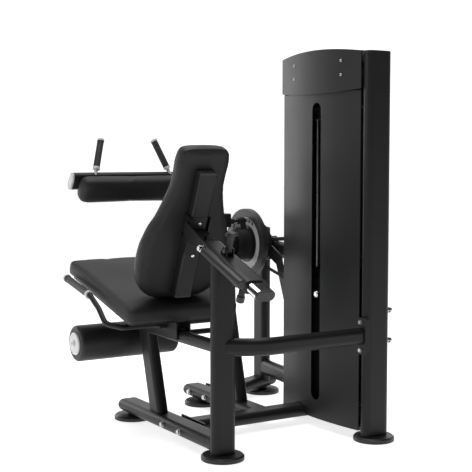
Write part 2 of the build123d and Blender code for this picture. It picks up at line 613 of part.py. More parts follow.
def make_seat():
    """Cushion, board and the wedge bracket that tilts them over the beam."""
    add("seat_cushion", extrude(seat_plane() * seat_face(0), amount=-SEAT_THICKNESS))
    add("seat_board", extrude(seat_plane(SEAT_THICKNESS) * seat_face(22), amount=-SEAT_BOARD))
    under = seat_plane(SEAT_THICKNESS + SEAT_BOARD)
    above = extrude(under * Rectangle(2000, 3000), amount=600)
    brackets = []
    for side in (-1, 1):
        x = side * (SEAT_BEAM_SIZE / 2 + 5)
        outline = [(300, SEAT_BEAM_Z - 10), (300, 640), (720, 640), (720, SEAT_BEAM_Z + 30),
                   (600, SEAT_BEAM_Z - 10)]
        plate = plate_x(x - 3, x + 3, outline) - above
        brackets.append(keep_largest(plate))
    tie_z = SEAT_BEAM_Z + SEAT_BEAM_SIZE / 2 + 0.5
    tie = block((-26, 26), (318, 420), (tie_z, tie_z + 6)) - above
    add("seat_beam", *brackets)
    add("seat_beam", keep_largest(tie))
    make_seat_handles()


def seat_handle_path(side):
    """Handle line: grip parallel to the seat's edge, then down, back and in under the board."""
    x = side * 276
    points = [(x, 824, 623), (x, 578, 573), (x, 500, 532), (x, 436, 478), (x - side * 60, 404, 462),
              (side * 60, 404, 462)]
    return FilletPolyline(*points, radius=[60, 60, 34, 26])


def make_seat_handles():
    """Round steel handles with rubber grips and bright rings beside the seat."""
    handles, grips, rings = [], [], []
    for side in (-1, 1):
        path = seat_handle_path(side)
        section = Plane(origin=path @ 0, z_dir=path % 0) * Circle(11)
        handles.append(sweep(section, path=path))
        run = (Vector(0, 578 - 824, 573 - 623)).normalized()
        tip = Vector(side * 276, 824, 623)
        grip_from = tip + run * 14
        grip_to = tip + run * 228
        sleeve = rod(tuple(grip_from), tuple(grip_to), 15)
        grips.append(sleeve - rod(tuple(tip - run * 5), tuple(grip_to + run * 5), 11))
        for at in (2, 228):
            ring = rod(tuple(tip + run * at), tuple(tip + run * (at + 12)), 17)
            rings.append(ring - rod(tuple(tip - run * 5), tuple(grip_to + run * 30), 11))
    add("seat_handles", handles[0])
    add("seat_handles", handles[1])
    add("seat_handle_grips", *grips)
    add("seat_handle_rings", *rings)
    pads = []
    for side in (-1, 1):
        pads.append(block(sorted_pair(side * 29, side * 60), (386, 422), (449, 475)))
    add("seat_beam", *pads)


def sorted_pair(a, b):
    """Low and high of two numbers."""
    return (min(a, b), max(a, b))


# ------------------------------------------------------------------ pivot
def make_bearings():
    """Housings at both ends of the pivot shaft, and the arm that carries the left one."""
    y, z = PIVOT
    bore = SHAFT_RADIUS + RUNNING
    left = ring_x(362, 418, y, z, BEARING_RADIUS, bore)
    right = ring_x(690, 722, y, z, BEARING_RADIUS, bore) - bar(*UPPER_BRACE)
    add("pivot_bearings", left, keep_largest(right))
    arm_spec = ((RIGHT_BASE_X, 600, 682), (RIGHT_BASE_X, y, z), 84, 46, Z_AXIS)
    arm = bar(*arm_spec) - bar(*RIGHT_POST) - rod_x(300, 500, y, z, BEARING_RADIUS)
    run = (Vector(*RIGHT_POST[1]) - Vector(*RIGHT_POST[0])).normalized()
    arm -= bar(RIGHT_POST[1], tuple(Vector(*RIGHT_POST[1]) + run * 8), *RIGHT_POST[2:])
    add("pivot_bearings", arm.solids().sort_by(Axis.Y)[-1])
    saddle = block((700, 790), (y - 46, y + 46), (742.5, 760)) - rod_x(600, 800, y, z, BEARING_RADIUS)
    stay = block((700, 724), (y - 46, y + 46), (660, 760)) - rod_x(600, 800, y, z, BEARING_RADIUS)
    add("pivot_bearings", keep_largest((saddle + stay) - bar(*UPPER_BRACE)))


# ------------------------------------------------------------------ exercise arm
def make_exercise_arm():
    """Shaft, roller arm with its hub and axle, and the plunger that indexes it on the disc."""
    y, z = PIVOT
    bore = SHAFT_RADIUS + RUNNING
    add("pivot_shaft", rod_x(*SHAFT_X, y, z, SHAFT_RADIUS))
    middle = (ARM_X[0] + ARM_X[1]) / 2
    beam = bar((middle, y, z), (middle, *ROLLER), 72, ARM_X[1] - ARM_X[0], Y_AXIS)
    beam += rod_x(*ARM_X, *ROLLER, 38)
    beam += rod_x(ARM_X[0], HUB_X[0], y, z, 46)
    beam += rod_x(AXLE_COLLAR_X, ARM_X[1] - 6, *ROLLER, AXLE_RADIUS)
    beam += rod_x(AXLE_COLLAR_X, AXLE_COLLAR_X + 8, *ROLLER, 20)
    beam += rod_x(AXLE_LEFT_X, AXLE_COLLAR_X, *ROLLER, AXLE_RADIUS)
    hub = rod_x(*HUB_X, y, z, HUB_RADIUS)
    hub = chamfer(hub.faces().sort_by(Axis.X)[0].edges(), 14)
    barrel_z = z + INDEX_RADIUS
    lug = plate_x(HUB_X[0] + 30, HUB_X[1] - 4, [(y - 34, z + 60), (y + 34, z + 60), (y + 15, barrel_z + 8),
                                                 (y - 15, barrel_z + 8)])
    barrel = rod_x(HUB_X[0] + 24, HUB_X[1], y, barrel_z, 15)
    arm = beam + hub + lug + barrel
    arm -= rod_x(400, 700, y, z, bore)
    arm -= rod_x(400, 700, y, barrel_z, PLUNGER_RADIUS + RUNNING)
    add("roller_arm", arm)
    pin = rod_x(HUB_X[0] + 2, DISC_X[0] + 6, y, barrel_z, PLUNGER_RADIUS)
    pull = fillet(rod_x(HUB_X[0] - 10, HUB_X[0] + 8, y, barrel_z, 13).edges(), 3)
    add("index_plunger", pin + pull)


def make_roller():
    """Foam ankle roller on a core tube, with bright end caps and a centre screw."""
    add("roller_foam", ring_x(*ROLLER_X, *ROLLER, ROLLER_RADIUS, 20))
    core = ring_x(*ROLLER_X, *ROLLER, 20, AXLE_RADIUS + RUNNING)
    left_cap = rod_x(ROLLER_X[0] - 8, ROLLER_X[0], *ROLLER, ROLLER_CAP_RADIUS)
    left_cap = fillet(left_cap.faces().sort_by(Axis.X)[0].edges(), 5)
    left_cap += rod_x(ROLLER_X[0] - 11, ROLLER_X[0] - 8, *ROLLER, 16)
    left_cap += cap_screw((ROLLER_X[0] - 11, *ROLLER), (-1, 0, 0), 9, 6, 1)
    right_cap = ring_x(ROLLER_X[1], ROLLER_X[1] + 8, *ROLLER, ROLLER_CAP_RADIUS,
                       AXLE_RADIUS + RUNNING)
    add("roller_end_caps", core + left_cap + right_cap)


def disc_ring(x_from, x_to, outer, inner):
    """Ring round the pivot with the circle of start-position holes through it."""
    y, z = PIVOT
    ring = ring_x(x_from, x_to, y, z, outer, inner)
    for step in range(INDEX_HOLES):
        angle = math.radians(INDEX_STEP * (step - INDEX_BEHIND))
        hole_y = y + INDEX_RADIUS * math.sin(angle)
        hole_z = z + INDEX_RADIUS * math.cos(angle)
        ring -= rod_x(x_from - 1, x_to + 1, hole_y, hole_z, PLUNGER_RADIUS + 0.4)
    return ring


def make_cam():
    """Start-position disc, its label ring, and the belt cam with its crank on the same shaft."""
    y, z = PIVOT
    web_x = (DISC_X[0] + 8, DISC_X[0] + 16)
    rim = ring_x(*DISC_X, y, z, DISC_RADIUS, DISC_RADIUS - DISC_RIM)
    web = disc_ring(*web_x, DISC_RADIUS - DISC_RIM + 1, 30)
    hub = ring_x(DISC_X[0] - 1, DISC_X[1] + 1, y, z, 32, SHAFT_RADIUS)
    add("index_disc", rim + web + hub)
    add("index_label", disc_ring(web_x[0] - 0.8, web_x[0], 122, 86))
    cam_x = (CAM_X - 14, CAM_X + 14)
    cam = ring_x(*cam_x, y, z, CAM_RADIUS, SHAFT_RADIUS)
    cam += ring_x(cam_x[0] - 4, cam_x[0], y, z, CAM_RADIUS + 6, SHAFT_RADIUS)
    cam += ring_x(cam_x[1], cam_x[1] + 4, y, z, CAM_RADIUS + 6, SHAFT_RADIUS)
    cam += ring_x(DISC_X[1] + 1, cam_x[0] - 4, y, z, 28, SHAFT_RADIUS)
    add("belt_cam", cam + make_crank(cam_x[1] + 4) - rod_x(500, 800, y, z, SHAFT_RADIUS))


def make_crank(x_from):
    """Flat bent lever bolted to the far side of the cam, reaching back and down."""
    y, z = PIVOT
    x = x_from + CRANK_THICK / 2
    first = box_bar((x, y, z), (x, *CRANK_ELBOW), 56, CRANK_THICK, 1, (0, -0.4, 0.9))
    run = (0, CRANK_TIP[1] - CRANK_ELBOW[1], CRANK_ELBOW[0] - CRANK_TIP[0])
    second = box_bar((x, *CRANK_ELBOW), (x, *CRANK_TIP), 46, CRANK_THICK, 1, run)
    crank = first + second + rod_x(x_from, x_from + CRANK_THICK, *CRANK_ELBOW, 26)
    crank += rod_x(x_from, x_from + CRANK_THICK, *CRANK_TIP, 23)
    return crank


# ------------------------------------------------------------------ hold-down arm
def make_thigh_arm():
    """Hold-down arm: hub on the pivot, side tube, upright, bar, pad and grips."""
    y, z = PIVOT
    hub = ring_x(*THIGH_HUB_X, y, z, THIGH_HUB_RADIUS, SHAFT_RADIUS + RUNNING)
    side_tube = box_bar((SIDE_TUBE_X[0], y, SIDE_TUBE_Z), (SIDE_TUBE_X[1], y, SIDE_TUBE_Z),
                        50, 62, 8, Y_AXIS)
    riser = block((THIGH_HUB_X[0] + 3, THIGH_HUB_X[1] - 3), (y - 22, y + 22), (z + 30, SIDE_TUBE_Z - 28))
    riser -= rod_x(400, 500, y, z, SHAFT_RADIUS + 10)
    upright_x = SIDE_TUBE_X[0] + 23
    bar_spec = ((THIGH_BAR_X[0] + 8, *THIGH_BAR), (THIGH_BAR_X[1], *THIGH_BAR), 80, 40, thigh_wide())
    upright = bar((upright_x, y, SIDE_TUBE_Z), (upright_x, *THIGH_BAR), 78, 46, Y_AXIS)
    add("thigh_arm", hub + riser + side_tube + upright + bar(*bar_spec))
    left_cap = bar((THIGH_BAR_X[0], *THIGH_BAR), (THIGH_BAR_X[0] + 8, *THIGH_BAR), 80, 40, thigh_wide())
    left_cap = fillet(left_cap.faces().sort_by(Axis.X)[0].edges(), 4)
    right_cap = bar((THIGH_BAR_X[1], *THIGH_BAR), (THIGH_BAR_X[1] + 8, *THIGH_BAR), 80, 40, thigh_wide())
    add("thigh_bar_caps", left_cap, right_cap)
    below = thigh_below()
    centre = (THIGH_BAR[0] + below[0] * THIGH_PAD_DROP, THIGH_BAR[1] + below[1] * THIGH_PAD_DROP)
    ends = [(x, *centre) for x in THIGH_PAD_X]
    pad = box_bar(*ends, 116, 2 * (THIGH_PAD_DROP - 24), 26, thigh_wide())
    add("thigh_pad", pad)
    board_at = (THIGH_BAR[0] + below[0] * 22, THIGH_BAR[1] + below[1] * 22)
    board = box_bar((-200, *board_at), (200, *board_at), 70, 4, 1, thigh_wide())
    board -= bar(*bar_spec)
    add("thigh_arm", keep_largest(board))
    rods, grips, tips = [], [], []
    for x, inward in ((-160, 1), (200, -1)):
        lean = Vector(inward * 48, 50, 137).normalized()
        base = Vector(x, THIGH_BAR[0] - 22, THIGH_BAR[1] + 22)
        stem = rod(tuple(base), tuple(base + lean * 172), 8) - bar(*bar_spec)
        rods.append(stem.solids().sort_by(Axis.Z)[-1])
        grip = rod(tuple(base + lean * 40), tuple(base + lean * 164), 14.5)
        grips.append(grip - rod(tuple(base), tuple(base + lean * 180), 8))
        for at, size in ((30, 10), (164, 8)):
            ring = rod(tuple(base + lean * at), tuple(base + lean * (at + size)), 16)
            tips.append(ring - rod(tuple(base), tuple(base + lean * 180), 8))
    add("thigh_handle_rods", *rods)
    add("thigh_handle_grips", *grips)
    add("thigh_handle_rods", *tips)


def thigh_wide():
    """Direction of the hold-down bar's long side: its top edge leans back."""
    return (0, -math.cos(THIGH_BAR_TILT), math.sin(THIGH_BAR_TILT))


def thigh_below():
    """Direction from the bar to the pad, down and to the rear, as (y, z)."""
    return (-math.sin(THIGH_BAR_TILT), -math.cos(THIGH_BAR_TILT))


# ------------------------------------------------------------------ weight tower
def shroud_sheet(x_edge, bulge, thickness, y_range, z_range):
    """Curved sheet standing on its edge: bows out by 'bulge' midway between its edges."""
    y_low, y_high = y_range
    y_mid = (y_low + y_high) / 2
    outer = ThreePointArc((x_edge, y_low), (x_edge - bulge, y_mid), (x_edge, y_high))
    inner = ThreePointArc((x_edge + thickness, y_high), (x_edge + thickness - bulge, y_mid),
                          (x_edge + thickness, y_low))
    close_a = Line((x_edge, y_high), (x_edge + thickness, y_high))
    close_b = Line((x_edge + thickness, y_low), (x_edge, y_low))
    face = make_face([outer, close_a, inner, close_b])
    return Pos(0, 0, z_range[0]) * extrude(face, amount=z_range[1] - z_range[0])


def mirrored(shape):
    """The same shape on the far side of the tower's centre plane."""
    return shape.mirror(Plane.YZ.offset(TOWER_X))


def header_window():
    """Solid whose YZ outline is the header: arched top, bottom edge bowed down."""
    y_low, y_high = SHROUD_Y[0] - 6, SHROUD_Y[1] + 8
    y_mid = (y_low + y_high) / 2
    bottom_z = SHROUD_Z[1] + 6
    top = ThreePointArc((y_low, TOWER_CORNER_Z), (y_mid, TOWER_ARCH_Z), (y_high, TOWER_CORNER_Z))
    right = Line((y_high, TOWER_CORNER_Z), (y_high, bottom_z))
    bottom = ThreePointArc((y_high, bottom_z), (y_mid, bottom_z - 12), (y_low, bottom_z))
    left = Line((y_low, bottom_z), (y_low, TOWER_CORNER_Z))
    face = Plane.YZ * make_face([top, right, bottom, left])
    return Pos(500, 0, 0) * extrude(face, amount=400)


def make_tower_frame():
    """Uprights, beams and end plugs of the weight tower."""
    add("tower_uprights", coped(TOWER_REAR))
    belt_slot = block((TOWER_X - 20, TOWER_X + 20), (TOWER_FRONT_Y - 40, TOWER_FRONT_Y + 40), (530, 660))
    add("tower_uprights", coped(TOWER_FRONT) - belt_slot)
    floor_beam = coped(TOWER_FLOOR_BEAM, TOWER_REAR, TOWER_FRONT)
    add("tower_floor_beam", keep_largest(floor_beam))
    top_beam = keep_largest(coped(TOWER_TOP_BEAM, TOWER_REAR, TOWER_FRONT))
    for y in (STACK_Y, BELT_FRONT_Y):
        top_beam -= block((TOWER_X - 20, TOWER_X + 20), (y - 12, y + 12), (TOP_BEAM_Z - 40, TOP_BEAM_Z + 40))
    add("tower_top_beam", top_beam)
    caps = []
    for spec in (TOWER_REAR, TOWER_FRONT):
        top = spec[1]
        caps.append(end_plug(top, (top[0], top[1], top[2] + 6), *spec[2:], 4))
    add("tube_end_caps", *caps)
    pegs = []
    for z in (520, 398):
        peg = rod_x(TOWER_X + UPRIGHT_WIDE / 2 - 1, TOWER_X + UPRIGHT_WIDE / 2 + 12, TOWER_REAR_Y, z, 7)
        peg += rod_x(TOWER_X + UPRIGHT_WIDE / 2 + 12, TOWER_X + UPRIGHT_WIDE / 2 + 20, TOWER_REAR_Y, z, 11)
        pegs.append(peg - bar(*TOWER_REAR))
    add("frame_bolts", *pegs)


def make_shrouds():
    """Curved covers on both sides of the stack and the header plates above them."""
    left = shroud_sheet(SHROUD_X, SHROUD_BULGE, SHEET, SHROUD_Y, SHROUD_Z)
    slot_height = SLOT_Z[1] - SLOT_Z[0]
    slot_face = Plane.YZ * SlotOverall(slot_height, SLOT_WIDTH, rotation=90)
    slot = Pos(500, STACK_Y, (SLOT_Z[0] + SLOT_Z[1]) / 2) * extrude(slot_face, amount=160)
    cross_gap = bar(*CROSS_BASE[:2], TUBE_WIDE + 3, TUBE_THIN + 3, Y_AXIS)
    add("inner_shroud", left - slot - cross_gap)
    far_y = (SHROUD_Y[0], SHROUD_Y[1] - 14)
    add("outer_shroud", mirrored(shroud_sheet(SHROUD_X, SHROUD_BULGE, SHEET, far_y, SHROUD_Z)))
    wide_y = (SHROUD_Y[0] - 6, SHROUD_Y[1] + 8)
    sheet = shroud_sheet(SHROUD_X - 5, SHROUD_BULGE + 4, 4, wide_y, (1300, 1600))
    header = sheet & header_window()
    add("header_plates", header)
    add("header_plates", mirrored(header))
    cover_band = header_window() & block((SHROUD_X + 1, 2 * TOWER_X - SHROUD_X - 1),
                                         (TOWER_REAR_Y + 26, TOWER_FRONT_Y - 26), (1500, 1600))
    cover_inner = Pos(0, 0, -3) * cover_band
    add("tube_end_caps", keep_largest(cover_band - cover_inner - block((0, 1400), (-200, 600), (1400, 1546))))
    screws = []
    for y, z in ((368, 1516), (368, 1460), (44, 1516), (44, 1460)):
        half = (wide_y[1] - wide_y[0]) / 2
        mid = (wide_y[0] + wide_y[1]) / 2
        bow = (SHROUD_BULGE + 4) * (1 - ((y - mid) / half) ** 2)
        x = SHROUD_X - 5 - bow + 1.2
        screw = cap_screw((x, y, z), (-1, 0, 0), 6, 4, 2)
        screws.append(screw - header)
        screws.append(mirrored(screw - header))
    add("frame_bolts", *screws)
    clips = []
    for z in (110, 720, 1250):
        for y in (SHROUD_Y[0] + 12, SHROUD_Y[1] - 22):
            clip = block((SHROUD_X + 3.5, SHROUD_X + 34), (y - 9, y + 9), (z - 20, z + 20))
            clip -= bar(*TOWER_REAR)
            clip -= bar(*TOWER_FRONT)
            clips.append(keep_largest(clip))
            clips.append(keep_largest(mirrored(clip)))
    for z in (1425, 1490):
        for y in (TOWER_REAR_Y + 38, TOWER_FRONT_Y - 38):
            clip = block((SHROUD_X + 3, SHROUD_X + 34), (y - 13, y + 13), (z - 15, z + 15))
            clip -= bar(*TOWER_REAR)
            clip -= bar(*TOWER_FRONT)
            clips.append(keep_largest(clip))
            clips.append(keep_largest(mirrored(clip)))
    add("tower_uprights", *clips)


def weight_plate(floor_z):
    """One cast plate: guide holes, selector rod hole and pin hole."""
    y_range = (STACK_Y - PLATE_LENGTH / 2, STACK_Y + PLATE_LENGTH / 2)
    plate = block(PLATE_X, y_range, (floor_z, floor_z + PLATE_THICKNESS))
    plate = fillet(plate.edges().filter_by(Axis.Z), 8)
    middle_z = floor_z + PLATE_THICKNESS / 2
    for offset_y, radius in ((-GUIDE_SPREAD, GUIDE_RADIUS + 1), (0, 13.5),
                             (GUIDE_SPREAD, GUIDE_RADIUS + 1)):
        plate -= Pos(TOWER_X, STACK_Y + offset_y, middle_z) * Cylinder(radius, PLATE_THICKNESS + 4)
    plate -= rod_x(PLATE_X[0] - 1, PLATE_X[1] + 1, STACK_Y, middle_z, 5.2)
    return plate


def make_stack():
    """Guide rods, resting plates, lifted plates, selector rod and selector pin."""
    rods, buffers = [], []
    for side in (-1, 1):
        y = STACK_Y + side * GUIDE_SPREAD
        rods.append(rod((TOWER_X, y, BASE_TOP), (TOWER_X, y, TOP_BEAM_Z - TUBE_THIN / 2), GUIDE_RADIUS))
        buffer = Pos(TOWER_X, y, (BASE_TOP + STACK_FLOOR) / 2) * Cylinder(24, STACK_FLOOR - BASE_TOP)
        buffer -= rod((TOWER_X, y, 0), (TOWER_X, y, 300), GUIDE_RADIUS)
        buffers.append(buffer)
    add("tower_rods", *rods)
    add("tower_floor_beam", *buffers)
    resting = [weight_plate(STACK_FLOOR + i * PLATE_THICKNESS) for i in range(LOWER_PLATES)]
    add("resting_plates", *resting)
    lifted = [weight_plate(LIFTED_FLOOR + i * PLATE_THICKNESS) for i in range(LIFTED_PLATES)]
    add("lifted_plates", *lifted)
    top_floor = LIFTED_FLOOR + LIFTED_PLATES * PLATE_THICKNESS
    top_z = top_floor + 32
    head = block((PLATE_X[0] + 8, PLATE_X[1] - 8), (STACK_Y - 140, STACK_Y + 140), (top_floor, top_z))
    head = fillet(head.edges().filter_by(Axis.Z), 8)
    head -= Pos(TOWER_X, STACK_Y, (top_floor + top_z) / 2) * Cylinder(12, 60)
    bushes = []
    for side in (-1, 1):
        y = STACK_Y + side * GUIDE_SPREAD
        head -= rod((TOWER_X, y, top_floor - 5), (TOWER_X, y, top_z + 5), 15)
        bush = rod((TOWER_X, y, top_floor), (TOWER_X, y, top_z + 5), 15)
        bush += rod((TOWER_X, y, top_z), (TOWER_X, y, top_z + 5), 18)
        bushes.append(bush - rod((TOWER_X, y, top_floor - 5), (TOWER_X, y, top_z + 9), GUIDE_RADIUS + 0.1))
    add("lifted_plates", head)
    add("lifted_plates", *bushes)
    selector = rod((TOWER_X, STACK_Y, STACK_FLOOR + 6), (TOWER_X, STACK_Y, top_z + 18), 12)
    for index in range(LOWER_PLATES + LIFTED_PLATES):
        z = STACK_FLOOR + (index + 0.5) * PLATE_THICKNESS
        z += LIFT_GAP if index >= LOWER_PLATES else 0
        selector -= rod_x(600, 720, STACK_Y, z, 5.2)
    add("selector_rod", selector)
    pin = rod_x(614, 700, STACK_Y, PIN_Z, 4.8)
    knob = fillet(rod_x(574, 610, STACK_Y, PIN_Z, 14).edges(), 5)
    collar = rod_x(610, 614, STACK_Y, PIN_Z, 8)
    add("selector_pin", pin + collar)
    add("selector_pin", knob)
    clamp_z = top_z + 18
    clamp = block((TOWER_X - 16, TOWER_X + 16), (STACK_Y - 12, STACK_Y + 12), (clamp_z, clamp_z + 40))
    clamp -= block((TOWER_X - 13, TOWER_X + 13), (STACK_Y - 2.5, STACK_Y + 2.5), (clamp_z + 6, clamp_z + 50))
    add("selector_rod", clamp)
    return clamp_z + 6


# ------------------------------------------------------------------ belt and pulleys
def tangent_points():
    """Lower outer tangent of the belt line from the cam to the low pulley, as (y, z) pairs."""
    r_cam = CAM_RADIUS + BELT_GAP + BELT_THICK / 2
    r_low = LOW_PULLEY_RADIUS + BELT_GAP + BELT_THICK / 2
    dy, dz = PIVOT[0] - LOW_PULLEY_Y, PIVOT[1] - LOW_PULLEY_Z
    angle = math.atan2(dz, dy) - math.pi / 2 - math.asin((r_cam - r_low) / math.hypot(dy, dz))
    on_cam = (PIVOT[0] + r_cam * math.cos(angle), PIVOT[1] + r_cam * math.sin(angle))
    on_low = (LOW_PULLEY_Y + r_low * math.cos(angle), LOW_PULLEY_Z + r_low * math.sin(angle))
    return on_cam, on_low, angle


def belt_piece(edge_list):
    """Flat belt carried along edges drawn in the tower's centre plane."""
    path = Plane.YZ.offset(CAM_X) * Wire(edge_list)
    section = Plane(origin=path @ 0, x_dir=X_AXIS, z_dir=path % 0) * Rectangle(BELT_WIDTH, BELT_THICK)
    return sweep(section, path=path)


def make_belt(run_end):
    """Lift belt: round the cam, under the low pulley, up and over the top pulley to the stack."""
    r_cam = CAM_RADIUS + BELT_GAP + BELT_THICK / 2
    r_low = LOW_PULLEY_RADIUS + BELT_GAP + BELT_THICK / 2
    r_top = TOP_PULLEY_RADIUS + BELT_GAP + BELT_THICK / 2
    on_cam, on_low, angle = tangent_points()
    cam_arc = CenterArc(PIVOT, r_cam, math.degrees(angle), 200)
    low_arc = CenterArc((LOW_PULLEY_Y, LOW_PULLEY_Z), r_low, 180, math.degrees(angle) + 180)
    top_arc = CenterArc((TOP_PULLEY_Y, TOP_PULLEY_Z), r_top, 0, 180)
    edges = [cam_arc, Line(on_cam, on_low), low_arc,
             Line((BELT_FRONT_Y, LOW_PULLEY_Z), (BELT_FRONT_Y, TOP_PULLEY_Z)), top_arc]
    add("lift_belt", belt_piece(edges))
    run = block((CAM_X - BELT_WIDTH / 2, CAM_X + BELT_WIDTH / 2),
                (STACK_Y - BELT_THICK / 2, STACK_Y + BELT_THICK / 2), (run_end, TOP_PULLEY_Z))
    add("stack_belt_run", run)
    add("top_pulley", pulley(TOP_PULLEY_Y, TOP_PULLEY_Z, TOP_PULLEY_RADIUS))
    add("low_pulley", pulley(LOW_PULLEY_Y, LOW_PULLEY_Z, LOW_PULLEY_RADIUS))
    axles = []
    beam_top = TOP_BEAM_Z + TUBE_THIN / 2
    for y, z in ((TOP_PULLEY_Y, TOP_PULLEY_Z), (LOW_PULLEY_Y, LOW_PULLEY_Z)):
        axles.append(rod_x(CAM_X - 34, CAM_X + 34, y, z, 8))
    for side in (-1, 1):
        near, far = sorted_pair(CAM_X + side * 24, CAM_X + side * 30)
        top_ear = plate_x(near, far, [(TOP_PULLEY_Y - 40, beam_top), (TOP_PULLEY_Y + 40, beam_top),
                                      (TOP_PULLEY_Y + 22, TOP_PULLEY_Z + 20),
                                      (TOP_PULLEY_Y - 22, TOP_PULLEY_Z + 20)])
        add("tower_top_beam", top_ear - rod_x(600, 720, TOP_PULLEY_Y, TOP_PULLEY_Z, 8))
        face_y = TOWER_FRONT_Y - TUBE_THIN / 2
        low_ear = block((near, far), (LOW_PULLEY_Y - 20, face_y), (LOW_PULLEY_Z - 20, LOW_PULLEY_Z + 20))
        add("tower_uprights", low_ear - rod_x(600, 720, LOW_PULLEY_Y, LOW_PULLEY_Z, 8))
    add("tower_rods", *axles)


def pulley(y, z, radius):
    """Flanged belt pulley with a running bore and lightening holes."""
    shape = ring_x(CAM_X - 14, CAM_X + 14, y, z, radius, 8 + RUNNING)
    for side in (-1, 1):
        near, far = sorted_pair(CAM_X + side * 14, CAM_X + side * 18)
        shape += ring_x(near, far, y, z, radius + 7, 8 + RUNNING)
    for step in range(5):
        angle = 2 * math.pi * step / 5
        hole_y = y + radius * 0.58 * math.cos(angle)
        hole_z = z + radius * 0.58 * math.sin(angle)
        shape -= rod_x(600, 720, hole_y, hole_z, radius * 0.2)
    return shape


# ------------------------------------------------------------------ build and write
make_feet()
BOLTS = make_floor_frame()
make_posts()
BOLTS += make_rear_arm()
add("frame_bolts", *BOLTS)
make_adjuster()
make_release_lever()
make_backrest()
make_seat()
make_bearings()
make_exercise_arm()
make_roller()
make_cam()
make_thigh_arm()
make_tower_frame()
make_shrouds()
make_belt(make_stack())

os.makedirs("parts", exist_ok=True)
for node_name, node_solids in NODES.items():
    export_step(Compound(children=node_solids), "parts/" + node_name + ".step")
    print(node_name, len(node_solids))
print("nodes", len(NODES))
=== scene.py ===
# %% [markdown]
# # Seated leg extension and leg curl machine
#
# The machine is a black steel frame that carries a seat, a sliding backrest, an arm with a foam
# ankle roller, a hold-down bar for the thighs and a tower with a weight stack. The CAD model
# already has every hard piece at its real size. This lesson adds what CAD leaves out: soft
# upholstery, the finishes of paint, vinyl, foam and chrome, and a small studio round the machine.

# %% Load the fixed frame
import math

import bpy
import bmesh
import numpy as np
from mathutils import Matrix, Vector


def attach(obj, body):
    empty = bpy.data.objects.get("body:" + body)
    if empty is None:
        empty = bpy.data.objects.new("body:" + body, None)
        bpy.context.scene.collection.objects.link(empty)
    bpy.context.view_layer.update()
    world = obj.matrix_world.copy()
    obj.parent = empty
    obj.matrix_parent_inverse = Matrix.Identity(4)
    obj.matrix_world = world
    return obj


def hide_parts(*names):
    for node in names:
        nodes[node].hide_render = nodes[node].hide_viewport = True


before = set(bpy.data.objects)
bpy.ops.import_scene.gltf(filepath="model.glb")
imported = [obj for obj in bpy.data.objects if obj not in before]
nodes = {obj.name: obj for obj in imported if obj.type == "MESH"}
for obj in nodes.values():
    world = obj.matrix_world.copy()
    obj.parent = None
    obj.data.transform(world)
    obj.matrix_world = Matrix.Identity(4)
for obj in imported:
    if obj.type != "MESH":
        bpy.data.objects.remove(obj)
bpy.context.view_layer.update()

# %% [markdown]
# ## Writing shader maths as Python
#
# A material is a network of nodes, and a network built call by call is hard to read. One small
# class wraps a socket and gives it the usual arithmetic, so a pattern can be written as a formula.
# Numbers alone are worked out in Python; only expressions on sockets make Math nodes.


# %% A socket that knows arithmetic
class Signal:
    """A value in a material's node tree: +, -, *, / and ** on it add Math nodes."""

    def __init__(self, tree, socket):
        self.tree = tree
        self.socket = socket

    def node(self, kind, settings=None, inputs=None, output=0):
        """Add a node: its settings first, then the values or links of its sockets."""
        made = self.tree.nodes.new(kind)
        for key, value in (settings or {}).items():
            setattr(made, key, value)
        for key, value in (inputs or {}).items():
            if isinstance(value, Signal):
                self.tree.links.new(value.socket, made.inputs[key])
            else:
                made.inputs[key].default_value = value
        return Signal(self.tree, made.outputs[output])

    def math(self, operation, *values):
        return self.node("ShaderNodeMath", {"operation": operation}, dict(enumerate(values)))

    def __add__(self, other):
        return self.math("ADD", self, other)

    def __radd__(self, other):
        return self.math("ADD", other, self)

    def __sub__(self, other):
        return self.math("SUBTRACT", self, other)

    def __rsub__(self, other):
        return self.math("SUBTRACT", other, self)

    def __mul__(self, other):
        return self.math("MULTIPLY", self, other)

    def __rmul__(self, other):
        return self.math("MULTIPLY", other, self)

    def __truediv__(self, other):
        return self.math("DIVIDE", self, other)

    def __pow__(self, other):
        return self.math("POWER", self, other)

    def clamp(self, low, high):
        """0 below low, 1 above high, smooth between."""
        return self.node("ShaderNodeMapRange", {"interpolation_type": "SMOOTHSTEP"},
                         {"Value": self, "From Min": low, "From Max": high})

    def mix(self, dark, light):
        """Colour between two colours, by this value."""
        return self.node("ShaderNodeMix", {"data_type": "RGBA"},
                         {0: self, 6: (*dark, 1), 7: (*light, 1)}, output=2)


# %% A finish: a shader with its place on the object
def start_finish(name):
    """An empty material; returns it, its shader node and the object's own coordinates."""
    material = bpy.data.materials.new(name)
    material.use_nodes = True
    tree = material.node_tree
    shader = tree.nodes["Principled BSDF"]
    place = Signal(tree, tree.nodes.new("ShaderNodeTexCoord").outputs["Object"])
    return material, shader, place


def connect(shader, place, **links):
    """Link signals to the shader's sockets, and set plain numbers on them."""
    for name, value in links.items():
        socket = shader.inputs[name.replace("_", " ")]
        if isinstance(value, Signal):
            place.tree.links.new(value.socket, socket)
        else:
            socket.default_value = value


def noise(place, scale, detail=3.0, rough=0.55):
    """Soft cloudy value between 0 and 1; 'scale' is about one blob per 1/scale metre."""
    return place.node("ShaderNodeTexNoise", {"noise_dimensions": "3D"},
                      {"Vector": place, "Scale": scale, "Detail": detail, "Roughness": rough})


def bump(place, height, depth, strength=1.0):
    """Surface normal tipped by a height map of 'depth' metres."""
    return place.node("ShaderNodeBump", {}, {"Height": height, "Distance": depth,
                                             "Strength": strength})


print("finish helpers ready")

# %% [markdown]
# ## Powder coat
#
# The frame is steel tube with a satin black powder coat. Powder melts into a very fine orange
# peel, so its highlight is soft and slightly uneven. Fine noise drives a bump of a few hundredths
# of a millimetre, and slow noise moves the roughness a little, as on a real sprayed part.


